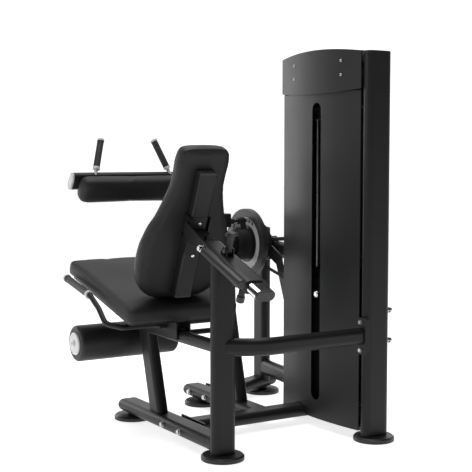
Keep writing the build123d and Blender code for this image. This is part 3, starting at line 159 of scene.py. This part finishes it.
# %% Powder coat finish
def powder_coat(name, dark, light, rough, peel, specular):
    """Sprayed paint: slow mottle in colour and roughness, fine orange peel in the normal."""
    material, shader, place = start_finish(name)
    mottle = noise(place, 9.0)
    grain = noise(place, 700.0, detail=2.0)
    connect(shader, place,
            Base_Color=mottle.mix(dark, light),
            Roughness=rough + (mottle - 0.5) * 0.08 + (grain - 0.5) * 0.05,
            Normal=bump(place, grain, peel),
            Specular_IOR_Level=specular)
    return material


frame_black = powder_coat("frame_black", (0.010, 0.0102, 0.0106), (0.014, 0.0142, 0.0148),
                          rough=0.42, peel=0.00004, specular=0.26)
shroud_black = powder_coat("shroud_black", (0.011, 0.0112, 0.0118), (0.014, 0.0142, 0.015),
                           rough=0.42, peel=0.00003, specular=0.30)
disc_grey = powder_coat("disc_grey", (0.022, 0.0222, 0.0228), (0.028, 0.0282, 0.029),
                        rough=0.42, peel=0.00004, specular=0.35)
plate_black = powder_coat("plate_black", (0.008, 0.008, 0.0085), (0.012, 0.012, 0.0125),
                          rough=0.5, peel=0.0001, specular=0.4)
print("powder coats:", frame_black.name, shroud_black.name, disc_grey.name, plate_black.name)

# %% [markdown]
# ## Vinyl, foam and rubber
#
# The seat, backrest and thigh pad are covered in black vinyl with a fine leather grain. The grain
# is made of small cells with valleys between them, so a Voronoi pattern gives the bump. The
# roller and the grips are closed-cell foam and rubber: the same idea with much finer noise.


# %% Vinyl, foam and ribbed rubber finishes
def vinyl(name, dark, light, rough):
    """Upholstery vinyl: cells for the grain, slow mottle where hands and legs polish it."""
    material, shader, place = start_finish(name)
    cells = place.node("ShaderNodeTexVoronoi", {"feature": "F1"},
                       {"Vector": place, "Scale": 520.0, "Randomness": 0.9})
    mottle = noise(place, 5.0)
    connect(shader, place,
            Base_Color=mottle.mix(dark, light),
            Roughness=rough + (mottle - 0.5) * 0.12,
            Normal=bump(place, cells + noise(place, 160.0) * 0.4, 0.00012, 0.6),
            Specular_IOR_Level=0.3)
    return material


def soft_foam(name, dark, light, rough):
    """Closed-cell foam: pin-prick pores and a dull skin."""
    material, shader, place = start_finish(name)
    pores = noise(place, 900.0, detail=4.0, rough=0.7)
    mottle = noise(place, 14.0)
    connect(shader, place,
            Base_Color=mottle.mix(dark, light),
            Roughness=rough + (pores - 0.5) * 0.1,
            Normal=bump(place, pores, 0.0001, 0.7),
            Specular_IOR_Level=0.4)
    return material


def ribbed_rubber(name, direction, pitch):
    """Grip rubber with ribs square to 'direction', one every 'pitch' metres."""
    material, shader, place = start_finish(name)
    along = place.node("ShaderNodeVectorMath", {"operation": "DOT_PRODUCT"},
                       {0: place, 1: direction}, output=1)
    phase = along * (2 * math.pi / pitch)
    rib = phase.math("SINE", phase)
    grain = noise(place, 600.0)
    connect(shader, place,
            Base_Color=grain.mix((0.008, 0.008, 0.0085), (0.013, 0.013, 0.0135)),
            Roughness=0.55 + (grain - 0.5) * 0.1,
            Normal=bump(place, rib * 0.5 + grain * 0.1, 0.0009, 0.8))
    return material


seat_vinyl = vinyl("seat_vinyl", (0.013, 0.0132, 0.0137), (0.018, 0.0182, 0.0187), 0.55)
roller_foam_skin = soft_foam("roller_foam_skin", (0.010, 0.010, 0.0105), (0.015, 0.015, 0.0155), 0.5)
GRIP_SLOPE = math.radians(14)
RIB_PITCH = 0.006
grip_direction = (0, math.cos(GRIP_SLOPE), math.sin(GRIP_SLOPE))
seat_grip_rubber = ribbed_rubber("seat_grip_rubber", grip_direction, RIB_PITCH)
thigh_grip_rubber = ribbed_rubber("thigh_grip_rubber", (0, 0.0, 1.0), RIB_PITCH)
print("soft finishes:", seat_vinyl.name, roller_foam_skin.name, seat_grip_rubber.name)

# %% [markdown]
# ## Plastic and bright metal
#
# Feet and plugs are moulded black plastic. The adjuster's inner tube, the pins and the screws are
# chrome or zinc plated, and the roller and bar caps are satin light grey. Bright metal is nearly
# all reflection, so its base colour is light, its metallic value is one and its roughness varies
# slightly, as polished steel does where it has been wiped.


# %% Plastic and metal finishes
def moulded_plastic(name, dark, light, rough):
    """Moulded plastic with a light spark-eroded texture."""
    material, shader, place = start_finish(name)
    grain = noise(place, 420.0)
    connect(shader, place,
            Base_Color=noise(place, 11.0).mix(dark, light),
            Roughness=rough + (grain - 0.5) * 0.12,
            Normal=bump(place, grain, 0.00005))
    return material


def bright_metal(name, dark, light, rough, streak):
    """Plated or brushed metal: smudges in the roughness, streaks along X if 'streak' is not 0."""
    material, shader, place = start_finish(name)
    smudge = noise(place, 30.0)
    stretched = place.node("ShaderNodeVectorMath", {"operation": "MULTIPLY"},
                           {0: place, 1: (60.0, 900.0, 900.0)})
    lines = noise(stretched, 1.0)
    connect(shader, place,
            Base_Color=smudge.mix(dark, light),
            Roughness=rough + (smudge - 0.5) * 0.08 + (lines - 0.5) * streak,
            Metallic=1.0)
    return material


black_plastic = moulded_plastic("black_plastic", (0.010, 0.010, 0.0105), (0.015, 0.015, 0.0155), 0.45)
grey_cap_plastic = moulded_plastic("grey_cap_plastic", (0.45, 0.45, 0.455), (0.52, 0.52, 0.525), 0.4)
roller_cap_satin = moulded_plastic("roller_cap_satin", (0.62, 0.62, 0.62), (0.70, 0.70, 0.70), 0.35)
belt_weave = moulded_plastic("belt_weave", (0.008, 0.008, 0.008), (0.012, 0.012, 0.012), 0.7)
chrome = bright_metal("chrome", (0.70, 0.71, 0.72), (0.80, 0.81, 0.82), 0.12, 0.0)
zinc = bright_metal("zinc", (0.50, 0.51, 0.52), (0.62, 0.63, 0.64), 0.3, 0.15)
print("hard finishes:", black_plastic.name, chrome.name, zinc.name)

# %% [markdown]
# ## The index ring
#
# The start-position disc carries a satin printed ring with a dark tick every fifteen degrees, the
# same step as its holes. The angle round the pivot comes from an arc tangent of the height and
# depth from the axis, and its remainder after one step places the ticks.


# %% Index ring finish
PIVOT_Y, PIVOT_Z = 0.780, 0.735
TICK_EDGE = (0.7, 1.1)              # degrees from a tick's middle over which it fades out
TICK_START = (0.1125, 0.1135)       # radius over which the ticks begin


def printed_ring(name, step_degrees):
    """Satin ring: light base, a dark tick at every step of angle in its outer half."""
    material, shader, place = start_finish(name)
    parts = place.tree.nodes.new("ShaderNodeSeparateXYZ")
    place.tree.links.new(place.socket, parts.inputs[0])
    depth = Signal(place.tree, parts.outputs[1]) - PIVOT_Y
    height = Signal(place.tree, parts.outputs[2]) - PIVOT_Z
    angle = depth.math("ARCTAN2", depth, height) * (180 / math.pi) + 360 + step_degrees / 2
    turn = angle.math("MODULO", angle, step_degrees) - step_degrees / 2
    tick = 1 - turn.math("ABSOLUTE", turn).clamp(*TICK_EDGE)
    radius = (depth ** 2 + height ** 2) ** 0.5
    outer = radius.clamp(*TICK_START)
    grain = noise(place, 500.0)
    connect(shader, place,
            Base_Color=(tick * outer).mix((0.62, 0.62, 0.63), (0.02, 0.02, 0.02)),
            Roughness=0.35 + (grain - 0.5) * 0.1)
    return material


index_print = printed_ring("index_print", 15.0)
print("index ring finish:", index_print.name)

# %% [markdown]
# ## Giving each hard piece its finish
#
# The CAD nodes keep their shape and only change material. A table of finishes and the nodes that
# wear them is easier to check than a line for each node.

# %% Finishes of the CAD nodes
FINISHES = {
    frame_black: ["rear_column", "centre_base_tube", "front_post", "seat_beam", "right_base_tube",
                  "right_post", "cross_base_tube", "diagonal_base_tube", "far_post", "side_braces",
                  "rear_arm", "tower_uprights", "tower_floor_beam", "tower_top_beam",
                  "flange_plates", "pivot_bearings", "adjuster_sleeve", "seat_handles",
                  "backrest_spine", "roller_arm", "thigh_arm", "seat_board", "backrest_board"],
    shroud_black: ["inner_shroud", "outer_shroud", "header_plates"],
    disc_grey: ["index_disc", "belt_cam"],
    plate_black: ["resting_plates", "lifted_plates"],
    black_plastic: ["tube_end_caps", "foot_discs", "backrest_caps", "release_lever",
                    "stop_pin_knob", "index_plunger", "gas_spring_body", "top_pulley", "low_pulley"],
    belt_weave: ["lift_belt", "stack_belt_run"],
    chrome: ["inner_tube", "gas_spring_rod", "selector_pin", "backrest_screws"],
    zinc: ["frame_bolts", "tower_rods", "selector_rod", "pivot_shaft"],
    grey_cap_plastic: ["thigh_bar_caps"],
    roller_cap_satin: ["roller_end_caps", "seat_handle_rings", "thigh_handle_rods"],
    seat_grip_rubber: ["seat_handle_grips"],
    thigh_grip_rubber: ["thigh_handle_grips"],
    index_print: ["index_label"],
    seat_vinyl: ["seat_cushion", "backrest_pad", "thigh_pad"],
    roller_foam_skin: ["roller_foam"],
}
for finish, names in FINISHES.items():
    for name in names:
        slots = nodes[name].data.materials
        slots.clear()
        slots.append(finish)
unpainted = sorted(set(nodes) - {n for names in FINISHES.values() for n in names})
print("nodes without a finish:", unpainted)

# %% [markdown]
# ## Upholstered pads
#
# A gym pad is a block of firm foam on a board, wrapped in vinyl that is pulled round the edge and
# stapled behind. It is crowned a little on top, its edges are rounded, and its underside is flat.
# The shape is a surface of two parameters: one runs round the outline, the other from the middle
# of the underside out round the edge to the middle of the top. A short cloth simulation with a
# little air pressure then settles the skin, so that it swells softly between its edges.


# %% Surfaces from arrays
PAD_COLUMNS = 300                   # points round a pad's outline
FLAT_ROWS = 24                      # rows over the underside, and again over the top
CORNER_ROWS = 6
SIDE_ROWS = 6
SPINE_END = 0.15                    # the rows' middle line stops this far short of both ends


def mesh_from_grid(name, grid, wrap_columns):
    """Mesh from an array of rows x columns x 3 points; the columns may close on themselves."""
    rows, columns, _ = grid.shape
    r, c = np.meshgrid(np.arange(rows - 1), np.arange(columns - (0 if wrap_columns else 1)),
                       indexing="ij")
    nxt = (c + 1) % columns
    faces = np.stack([r * columns + c, r * columns + nxt, (r + 1) * columns + nxt,
                      (r + 1) * columns + c], axis=-1).reshape(-1, 4)
    mesh = bpy.data.meshes.new(name)
    mesh.vertices.add(rows * columns)
    mesh.vertices.foreach_set("co", grid.reshape(-1))
    mesh.loops.add(len(faces) * 4)
    mesh.loops.foreach_set("vertex_index", faces.reshape(-1).astype(np.int32))
    mesh.polygons.add(len(faces))
    mesh.polygons.foreach_set("loop_start", np.arange(len(faces), dtype=np.int32) * 4)
    mesh.update(calc_edges=True)
    work = bmesh.new()
    work.from_mesh(mesh)
    bmesh.ops.remove_doubles(work, verts=work.verts, dist=1e-6)
    bmesh.ops.dissolve_degenerate(work, edges=work.edges, dist=1e-7)
    bmesh.ops.recalc_face_normals(work, faces=work.faces)
    work.to_mesh(mesh)
    work.free()
    mesh.shade_smooth()
    piece = bpy.data.objects.new(name, mesh)
    bpy.context.scene.collection.objects.link(piece)
    return piece


def closed_curve(corners, per_span=16):
    """Smooth closed curve through points: each span is the cubic whose slope at a point is half
    the step between that point's two neighbours."""
    points = np.asarray(corners, float)
    before, after = np.roll(points, 1, axis=0), np.roll(points, -1, axis=0)
    slope = (after - before) / 2
    t = np.linspace(0, 1, per_span, endpoint=False)[None, :, None]
    a, b = points[:, None], after[:, None]
    m, n = slope[:, None], np.roll(slope, -1, axis=0)[:, None]
    curve = ((2 * t**3 - 3 * t**2 + 1) * a + (t**3 - 2 * t**2 + t) * m
             + (3 * t**2 - 2 * t**3) * b + (t**3 - t**2) * n)
    return curve.reshape(-1, 2)


def even_spacing(outline, count):
    """The same closed curve with 'count' points at equal steps of its length."""
    closed = np.vstack([outline, outline[:1]])
    length = np.concatenate([[0], np.cumsum(np.linalg.norm(np.diff(closed, axis=0), axis=1))])
    at = np.linspace(0, length[-1], count, endpoint=False)
    return np.column_stack([np.interp(at, length, closed[:, i]) for i in (0, 1)])


def pad_grid(outline, thickness, top_edge, bottom_edge, crown, bulge):
    """Pad over a plan outline. From the middle of the underside the rows run out along the flat
    bottom, round a quarter circle of radius bottom_edge, up a side that bulges by a half sine,
    round a quarter circle of radius top_edge, and in over a top that rises as a parabola."""
    ahead = np.roll(outline, -1, axis=0) - np.roll(outline, 1, axis=0)
    inward = np.column_stack([-ahead[:, 1], ahead[:, 0]])
    inward /= np.linalg.norm(inward, axis=1, keepdims=True)
    low, high = outline[:, 1].min(), outline[:, 1].max()
    middle_y = np.clip(outline[:, 1], low + SPINE_END, high - SPINE_END)
    spine = np.column_stack([np.zeros(len(outline)), middle_y])
    quarter = np.linspace(0, math.pi / 2, CORNER_ROWS)
    side = np.linspace(0, 1, SIDE_ROWS + 2)[1:-1]
    across = np.linspace(0, 1, FLAT_ROWS)[1:]
    inset = np.concatenate([np.full(FLAT_ROWS, bottom_edge),
                            bottom_edge * (1 - np.sin(quarter))[1:],
                            -bulge * np.sin(math.pi * side), top_edge * (1 - np.cos(quarter)),
                            np.full(FLAT_ROWS - 1, top_edge)])
    toward = np.concatenate([np.linspace(1, 0, FLAT_ROWS),
                             np.zeros(2 * CORNER_ROWS - 1 + SIDE_ROWS), across])
    height = np.concatenate([np.zeros(FLAT_ROWS), bottom_edge * (1 - np.cos(quarter))[1:],
                             bottom_edge + side * (thickness - top_edge - bottom_edge),
                             thickness - top_edge + top_edge * np.sin(quarter),
                             thickness + crown * (1 - (1 - across) ** 2)])
    ring = outline[None] + inward[None] * inset[:, None, None]
    plan = ring + (spine[None] - ring) * toward[:, None, None]
    return np.concatenate([plan, np.repeat(height[:, None, None], len(outline), axis=1)], axis=2)


def place_on(grid, origin, across, along, normal):
    """Move a grid from its own plan (across, along, up) to its place on the machine."""
    basis = np.array([across, along, normal], float)
    return grid @ basis + np.asarray(origin, float)


print("surface helpers ready")


# %% Settling the skin with a cloth simulation
VOXEL = 0.006
PRESSURE = 4.0
STEPS = 20
STRETCH_STIFFNESS = 40
BEND_STIFFNESS = 4
SKIN_MASS = 0.4


def settle(piece, cap):
    """Remesh evenly, blow up slightly as cloth, and keep every point within 'cap' of its start."""
    remesh = piece.modifiers.new("even", "REMESH")
    remesh.mode = "VOXEL"
    remesh.voxel_size = VOXEL
    apply_stack(piece)
    smooth = piece.modifiers.new("smooth", "SMOOTH")
    smooth.iterations = 2
    smooth.factor = 0.5
    apply_stack(piece)
    start = points_of(piece)
    cloth = piece.modifiers.new("cloth", "CLOTH")
    cloth.settings.use_pressure = True
    cloth.settings.uniform_pressure_force = PRESSURE
    cloth.settings.effector_weights.gravity = 0
    cloth.settings.mass = SKIN_MASS
    cloth.settings.tension_stiffness = STRETCH_STIFFNESS
    cloth.settings.compression_stiffness = STRETCH_STIFFNESS
    cloth.settings.bending_stiffness = BEND_STIFFNESS
    cloth.point_cache.frame_start = 1
    cloth.point_cache.frame_end = STEPS
    for step in range(1, STEPS + 1):
        bpy.context.scene.frame_set(step)
    apply_stack(piece)
    moved = points_of(piece) - start
    far = np.linalg.norm(moved, axis=1, keepdims=True)
    limited = start + moved * (cap * np.tanh(far / cap) / np.maximum(far, 1e-9))
    piece.data.vertices.foreach_set("co", limited.reshape(-1).astype(np.float32))
    bpy.context.scene.frame_set(1)
    print(piece.name, "settled, largest move", float(far.max()))
    finer = piece.modifiers.new("finer", "SUBSURF")
    finer.levels = 1
    finer.render_levels = 1
    apply_stack(piece)
    piece.data.shade_smooth()
    return piece


def points_of(piece):
    """The mesh's points as an array of rows of three."""
    flat = np.empty(len(piece.data.vertices) * 3, np.float32)
    piece.data.vertices.foreach_get("co", flat)
    return flat.reshape(-1, 3).astype(float)


def apply_stack(piece):
    """Bake the piece's modifiers into its mesh."""
    graph = bpy.context.evaluated_depsgraph_get()
    finished = bpy.data.meshes.new_from_object(piece.evaluated_get(graph))
    piece.modifiers.clear()
    piece.data = finished


def upholster(piece, body, material_slot, fill, *replaced):
    """Give a soft piece its vinyl, its body and the CAD solids that it stands for."""
    piece.data.materials.clear()
    piece.data.materials.append(seat_vinyl)
    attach(piece, body)
    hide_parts(*replaced)
    print(piece.name, len(piece.data.polygons), "faces")


# %% [markdown]
# ## Seat
#
# The seat is almost a rectangle: straight sides, tight corners and a front edge that bows out by
# a centimetre. A superellipse with a high power gives exactly that plan. It tips up
# at the front by fourteen degrees so that the sitter slides back against the backrest.

# %% Seat cushion
SEAT_TILT = math.radians(14)
SEAT_REAR_TOP = np.array([0.0, 0.274, 0.545])
SEAT_LENGTH, SEAT_WIDTH, SEAT_THICK = 0.627, 0.500, 0.058
FRONT_BOW = 0.010
SEAT_CORNER_POWER = 24
SEAT_SWELL_ROOM = 0.002             # left off the thickness for the skin to swell into


def seat_outline(count):
    """Superellipse of power 24, half the seat's size each way, whose front edge is pushed out by
    a parabola across its width."""
    angle = np.linspace(0, 2 * math.pi, 1440, endpoint=False)
    power = 2 / SEAT_CORNER_POWER
    x = np.sign(np.cos(angle)) * np.abs(np.cos(angle)) ** power * SEAT_WIDTH / 2
    y = np.sign(np.sin(angle)) * np.abs(np.sin(angle)) ** power * (SEAT_LENGTH - FRONT_BOW) / 2
    y = y + (SEAT_LENGTH - FRONT_BOW) / 2
    front = np.clip(y / SEAT_LENGTH, 0, 1) ** 4
    y = y + FRONT_BOW * front * (1 - (2 * x / SEAT_WIDTH) ** 2)
    return even_spacing(np.column_stack([x, y]), count)


seat_up = np.array([0.0, -math.sin(SEAT_TILT), math.cos(SEAT_TILT)])
seat_forward = np.array([0.0, math.cos(SEAT_TILT), math.sin(SEAT_TILT)])
seat_grid = pad_grid(seat_outline(PAD_COLUMNS), SEAT_THICK - SEAT_SWELL_ROOM,
                     top_edge=0.014, bottom_edge=0.008, crown=0.004, bulge=0.001)
seat_foot = SEAT_REAR_TOP - seat_up * SEAT_THICK
seat_grid = place_on(seat_grid, seat_foot, (1, 0, 0), seat_forward, seat_up)
seat_pad = settle(mesh_from_grid("seat_pad", seat_grid, True), 0.005)
upholster(seat_pad, "frame", "cushion", 0.85, "seat_cushion")

# %% [markdown]
# ## Backrest
#
# The backrest is narrow at the shoulders, drawn in at the waist and wide at the hips, and its
# vinyl is wrapped right round to the back, so no board edge shows. A smooth closed curve runs
# through a few measured half-widths, mirrored about the middle, and the same pad surface is laid
# on it. With its board it is slightly thicker than the seat, and its front edge is rounder.

# %% Backrest pad
RECLINE = math.radians(23.3)
BACK_FOOT = np.array([0.0, 0.368, 0.572])
BACK_THICK, BACK_BOARD = 0.052, 0.010
BACK_SWELL_ROOM = 0.003             # left off the thickness for the skin to swell into
BACK_INSET = 0.0005                 # the skin starts this far ahead of the board's rear face
BACK_HALF = [(0.075, 0.000), (0.140, 0.022), (0.175, 0.060), (0.192, 0.105), (0.198, 0.160),
             (0.198, 0.207), (0.192, 0.250), (0.175, 0.307), (0.154, 0.350), (0.139, 0.392),
             (0.124, 0.441), (0.114, 0.486), (0.112, 0.540), (0.112, 0.590), (0.099, 0.636),
             (0.062, 0.650)]


def back_outline(count):
    """Closed curve through the half-widths up one side and their mirror down the other."""
    right = np.array(BACK_HALF)
    left = right[::-1] * (-1, 1)
    return even_spacing(closed_curve(np.vstack([right, left])), count)


back_up = np.array([0.0, -math.sin(RECLINE), math.cos(RECLINE)])
back_front = np.array([0.0, math.cos(RECLINE), math.sin(RECLINE)])
back_grid = pad_grid(back_outline(PAD_COLUMNS), BACK_THICK + BACK_BOARD - BACK_SWELL_ROOM,
                     top_edge=0.020, bottom_edge=0.008, crown=0.003, bulge=0.001)
back_origin = BACK_FOOT - back_front * (BACK_BOARD - BACK_INSET)
back_grid = place_on(back_grid, back_origin, (-1, 0, 0), back_up, back_front)
back_pad = settle(mesh_from_grid("back_pad", back_grid, True), 0.005)
upholster(back_pad, "backrest", "cushion", 0.85, "backrest_pad", "backrest_board")

# %% [markdown]
# ## Thigh pad
#
# The pad under the hold-down bar is a long cushion with rounded ends. Its cross-section is a
# superellipse, carried along the bar and drawn in at both ends by a second, much steeper curve,
# so the ends close smoothly.

# %% Thigh pad
PAD_TILT = math.radians(55)
BAR_Y, BAR_Z = 0.800, 1.032
PAD_DROP = 0.060
PAD_MIDDLE_X = -0.0125
PAD_HALF = (0.2325, 0.058, 0.036)
SECTION_POWER = 3.2
END_POWER, END_ROOT = 16, 3


def long_pad(half_length, half_wide, half_thin, rows, columns):
    """Superellipse section whose size follows (1 - |s|^END_POWER)^(1 / END_ROOT) along it."""
    s = np.sin(np.linspace(-math.pi / 2, math.pi / 2, rows))
    size = np.clip(1 - np.abs(s) ** END_POWER, 0, 1) ** (1 / END_ROOT)
    angle = np.linspace(0, 2 * math.pi, columns, endpoint=False)
    wide = np.sign(np.cos(angle)) * np.abs(np.cos(angle)) ** (2 / SECTION_POWER) * half_wide
    thin = np.sign(np.sin(angle)) * np.abs(np.sin(angle)) ** (2 / SECTION_POWER) * half_thin
    shape = np.empty((rows, columns, 3))
    shape[..., 0] = (s * half_length)[:, None]
    shape[..., 1] = size[:, None] * wide[None]
    shape[..., 2] = size[:, None] * thin[None]
    return shape


pad_wide = np.array([0.0, -math.cos(PAD_TILT), math.sin(PAD_TILT)])
pad_away = np.array([0.0, -math.sin(PAD_TILT), -math.cos(PAD_TILT)])
pad_centre = np.array([PAD_MIDDLE_X, BAR_Y, BAR_Z]) + pad_away * PAD_DROP
thigh_grid = place_on(long_pad(*PAD_HALF, 80, 64), pad_centre, (1, 0, 0), pad_wide, pad_away)
thigh_pad_piece = settle(mesh_from_grid("thigh_cushion", thigh_grid, True), 0.004)
upholster(thigh_pad_piece, "hold_down", "cushion", 0.9, "thigh_pad")

# %% [markdown]
# ## Ankle roller
#
# The roller is a tube of foam turned to size: a cylinder whose ends are rounded over. Its surface
# is a profile spun about the axle, with the profile's radius dropping in a quarter circle at each
# end. It is firm, so it needs no cloth simulation.

# %% Ankle roller
ROLLER_Y, ROLLER_Z = 0.760, 0.350
ROLLER_MIDDLE_X = -0.036
ROLLER_RADIUS, ROLLER_HALF, ROLLER_ROUND, ROLLER_BORE = 0.076, 0.230, 0.012, 0.0202
ROLLER_STRAIGHT = 0.2               # half the length that is cut into even rings


def turned_profile():
    """Half-section of the roller as (x, r): bore, end face, rounded shoulder, and its mirror."""
    turn = np.linspace(0, math.pi / 2, 8)
    shoulder_x = ROLLER_HALF - ROLLER_ROUND + ROLLER_ROUND * np.cos(turn)
    shoulder_r = ROLLER_RADIUS - ROLLER_ROUND + ROLLER_ROUND * np.sin(turn)
    half = np.column_stack([np.append([ROLLER_HALF], shoulder_x),
                            np.append([ROLLER_BORE], shoulder_r)])
    straight_x = np.linspace(ROLLER_STRAIGHT, -ROLLER_STRAIGHT, 12)
    body = np.column_stack([straight_x, np.full(12, ROLLER_RADIUS)])
    other = half[::-1] * (-1, 1)
    return np.vstack([half, body, other, half[:1]])


def spun(profile, columns):
    """Surface of revolution about X: each profile point goes round a circle of its radius."""
    angle = np.linspace(0, 2 * math.pi, columns, endpoint=False)
    shape = np.empty((len(profile), columns, 3))
    shape[..., 0] = profile[:, :1] + ROLLER_MIDDLE_X
    shape[..., 1] = profile[:, 1:] * np.cos(angle)[None] + ROLLER_Y
    shape[..., 2] = profile[:, 1:] * np.sin(angle)[None] + ROLLER_Z
    return shape


roller = mesh_from_grid("ankle_roller_foam", spun(turned_profile(), 128), True)
roller.data.materials.append(roller_foam_skin)
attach(roller, "ankle_roller")
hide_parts("roller_foam")
print(roller.name, len(roller.data.polygons), "faces")

# %% [markdown]
# ## Studio
#
# The machine stands on a pale floor in a white studio. The wall ahead of the camera is bright and
# the room behind it is dark, which leaves long soft reflections down the curved shroud. One large
# soft box hangs above, one stands to the left for the side faces, and a tall one in front of the
# machine lights its far edges. The floor glows a little, so that it stays pale to the horizon.

# %% Floor and lights
FLOOR_GLOW = 0.75
floor_material, floor_shader, floor_place = start_finish("studio_floor")
connect(floor_shader, floor_place, Base_Color=(0.86, 0.86, 0.86, 1), Roughness=0.85,
        Emission_Color=(1, 1, 1, 1), Emission_Strength=FLOOR_GLOW)
bpy.ops.mesh.primitive_plane_add(size=60, location=(0, 0, -0.0005))
floor = bpy.context.object
floor.name = "floor"
floor.data.materials.append(floor_material)


def soft_box(name, place, target, size, power):
    """Rectangular area light at a place, turned to face a target."""
    lamp = bpy.data.lights.new(name, "AREA")
    lamp.shape = "RECTANGLE"
    lamp.size, lamp.size_y = size
    lamp.energy = power
    box = bpy.data.objects.new(name, lamp)
    box.location = place
    box.rotation_mode = "QUATERNION"
    box.rotation_quaternion = (Vector(target) - Vector(place)).to_track_quat("-Z", "Y")
    bpy.context.scene.collection.objects.link(box)
    return box


soft_box("top_light", (0.2, 0.4, 4.2), (0.3, 0.4, 0.6), (3.2, 3.2), 120)
soft_box("left_light", (-4.5, 1.0, 2.2), (0.3, 0.5, 0.7), (2.2, 2.6), 45)
soft_box("front_strip", (-1.2, 6.0, 1.6), (0.6, 0.3, 0.8), (1.2, 3.0), 60)

CAMERA_AHEAD = (0.526, 0.851, 0.0)  # level direction in which the camera looks
WALL_FADE = (0.1, 0.85)             # how far the wall runs round from there, as cosines
WALL_GLOW = 1.20
world = bpy.data.worlds.new("studio")
bpy.context.scene.world = world
world.use_nodes = True
background = world.node_tree.nodes["Background"]
directions = world.node_tree.nodes.new("ShaderNodeTexCoord")
sky = Signal(world.node_tree, directions.outputs["Generated"])
ahead = sky.node("ShaderNodeVectorMath", {"operation": "DOT_PRODUCT"},
                 {0: sky, 1: CAMERA_AHEAD}, output=1)
glow = ahead.clamp(*WALL_FADE) * WALL_GLOW
world.node_tree.links.new(glow.socket, background.inputs["Strength"])
background.inputs["Color"].default_value = (1, 1, 1, 1)
print("studio lit")

# %% [markdown]
# ## Camera
#
# A long lens at about chest height, behind and to the left of the machine, keeps the uprights
# nearly parallel and shows the back of the seat and the whole tower.

# %% Camera
CAMERA_PLACE = (-2.0619, -3.4314, 1.1448)
YAW, DIP = math.radians(31.72), math.radians(4.32)
camera_data = bpy.data.cameras.new("camera")
camera_data.sensor_width = 36
camera_data.lens = 82.58
camera = bpy.data.objects.new("camera", camera_data)
bpy.context.scene.collection.objects.link(camera)
camera.location = CAMERA_PLACE
look = Vector((math.sin(YAW) * math.cos(DIP), math.cos(YAW) * math.cos(DIP), -math.sin(DIP)))
camera.rotation_mode = "QUATERNION"
camera.rotation_quaternion = look.to_track_quat("-Z", "Y")
bpy.context.scene.camera = camera
bpy.context.scene.view_settings.view_transform = "Standard"
print("camera at", tuple(camera.location))
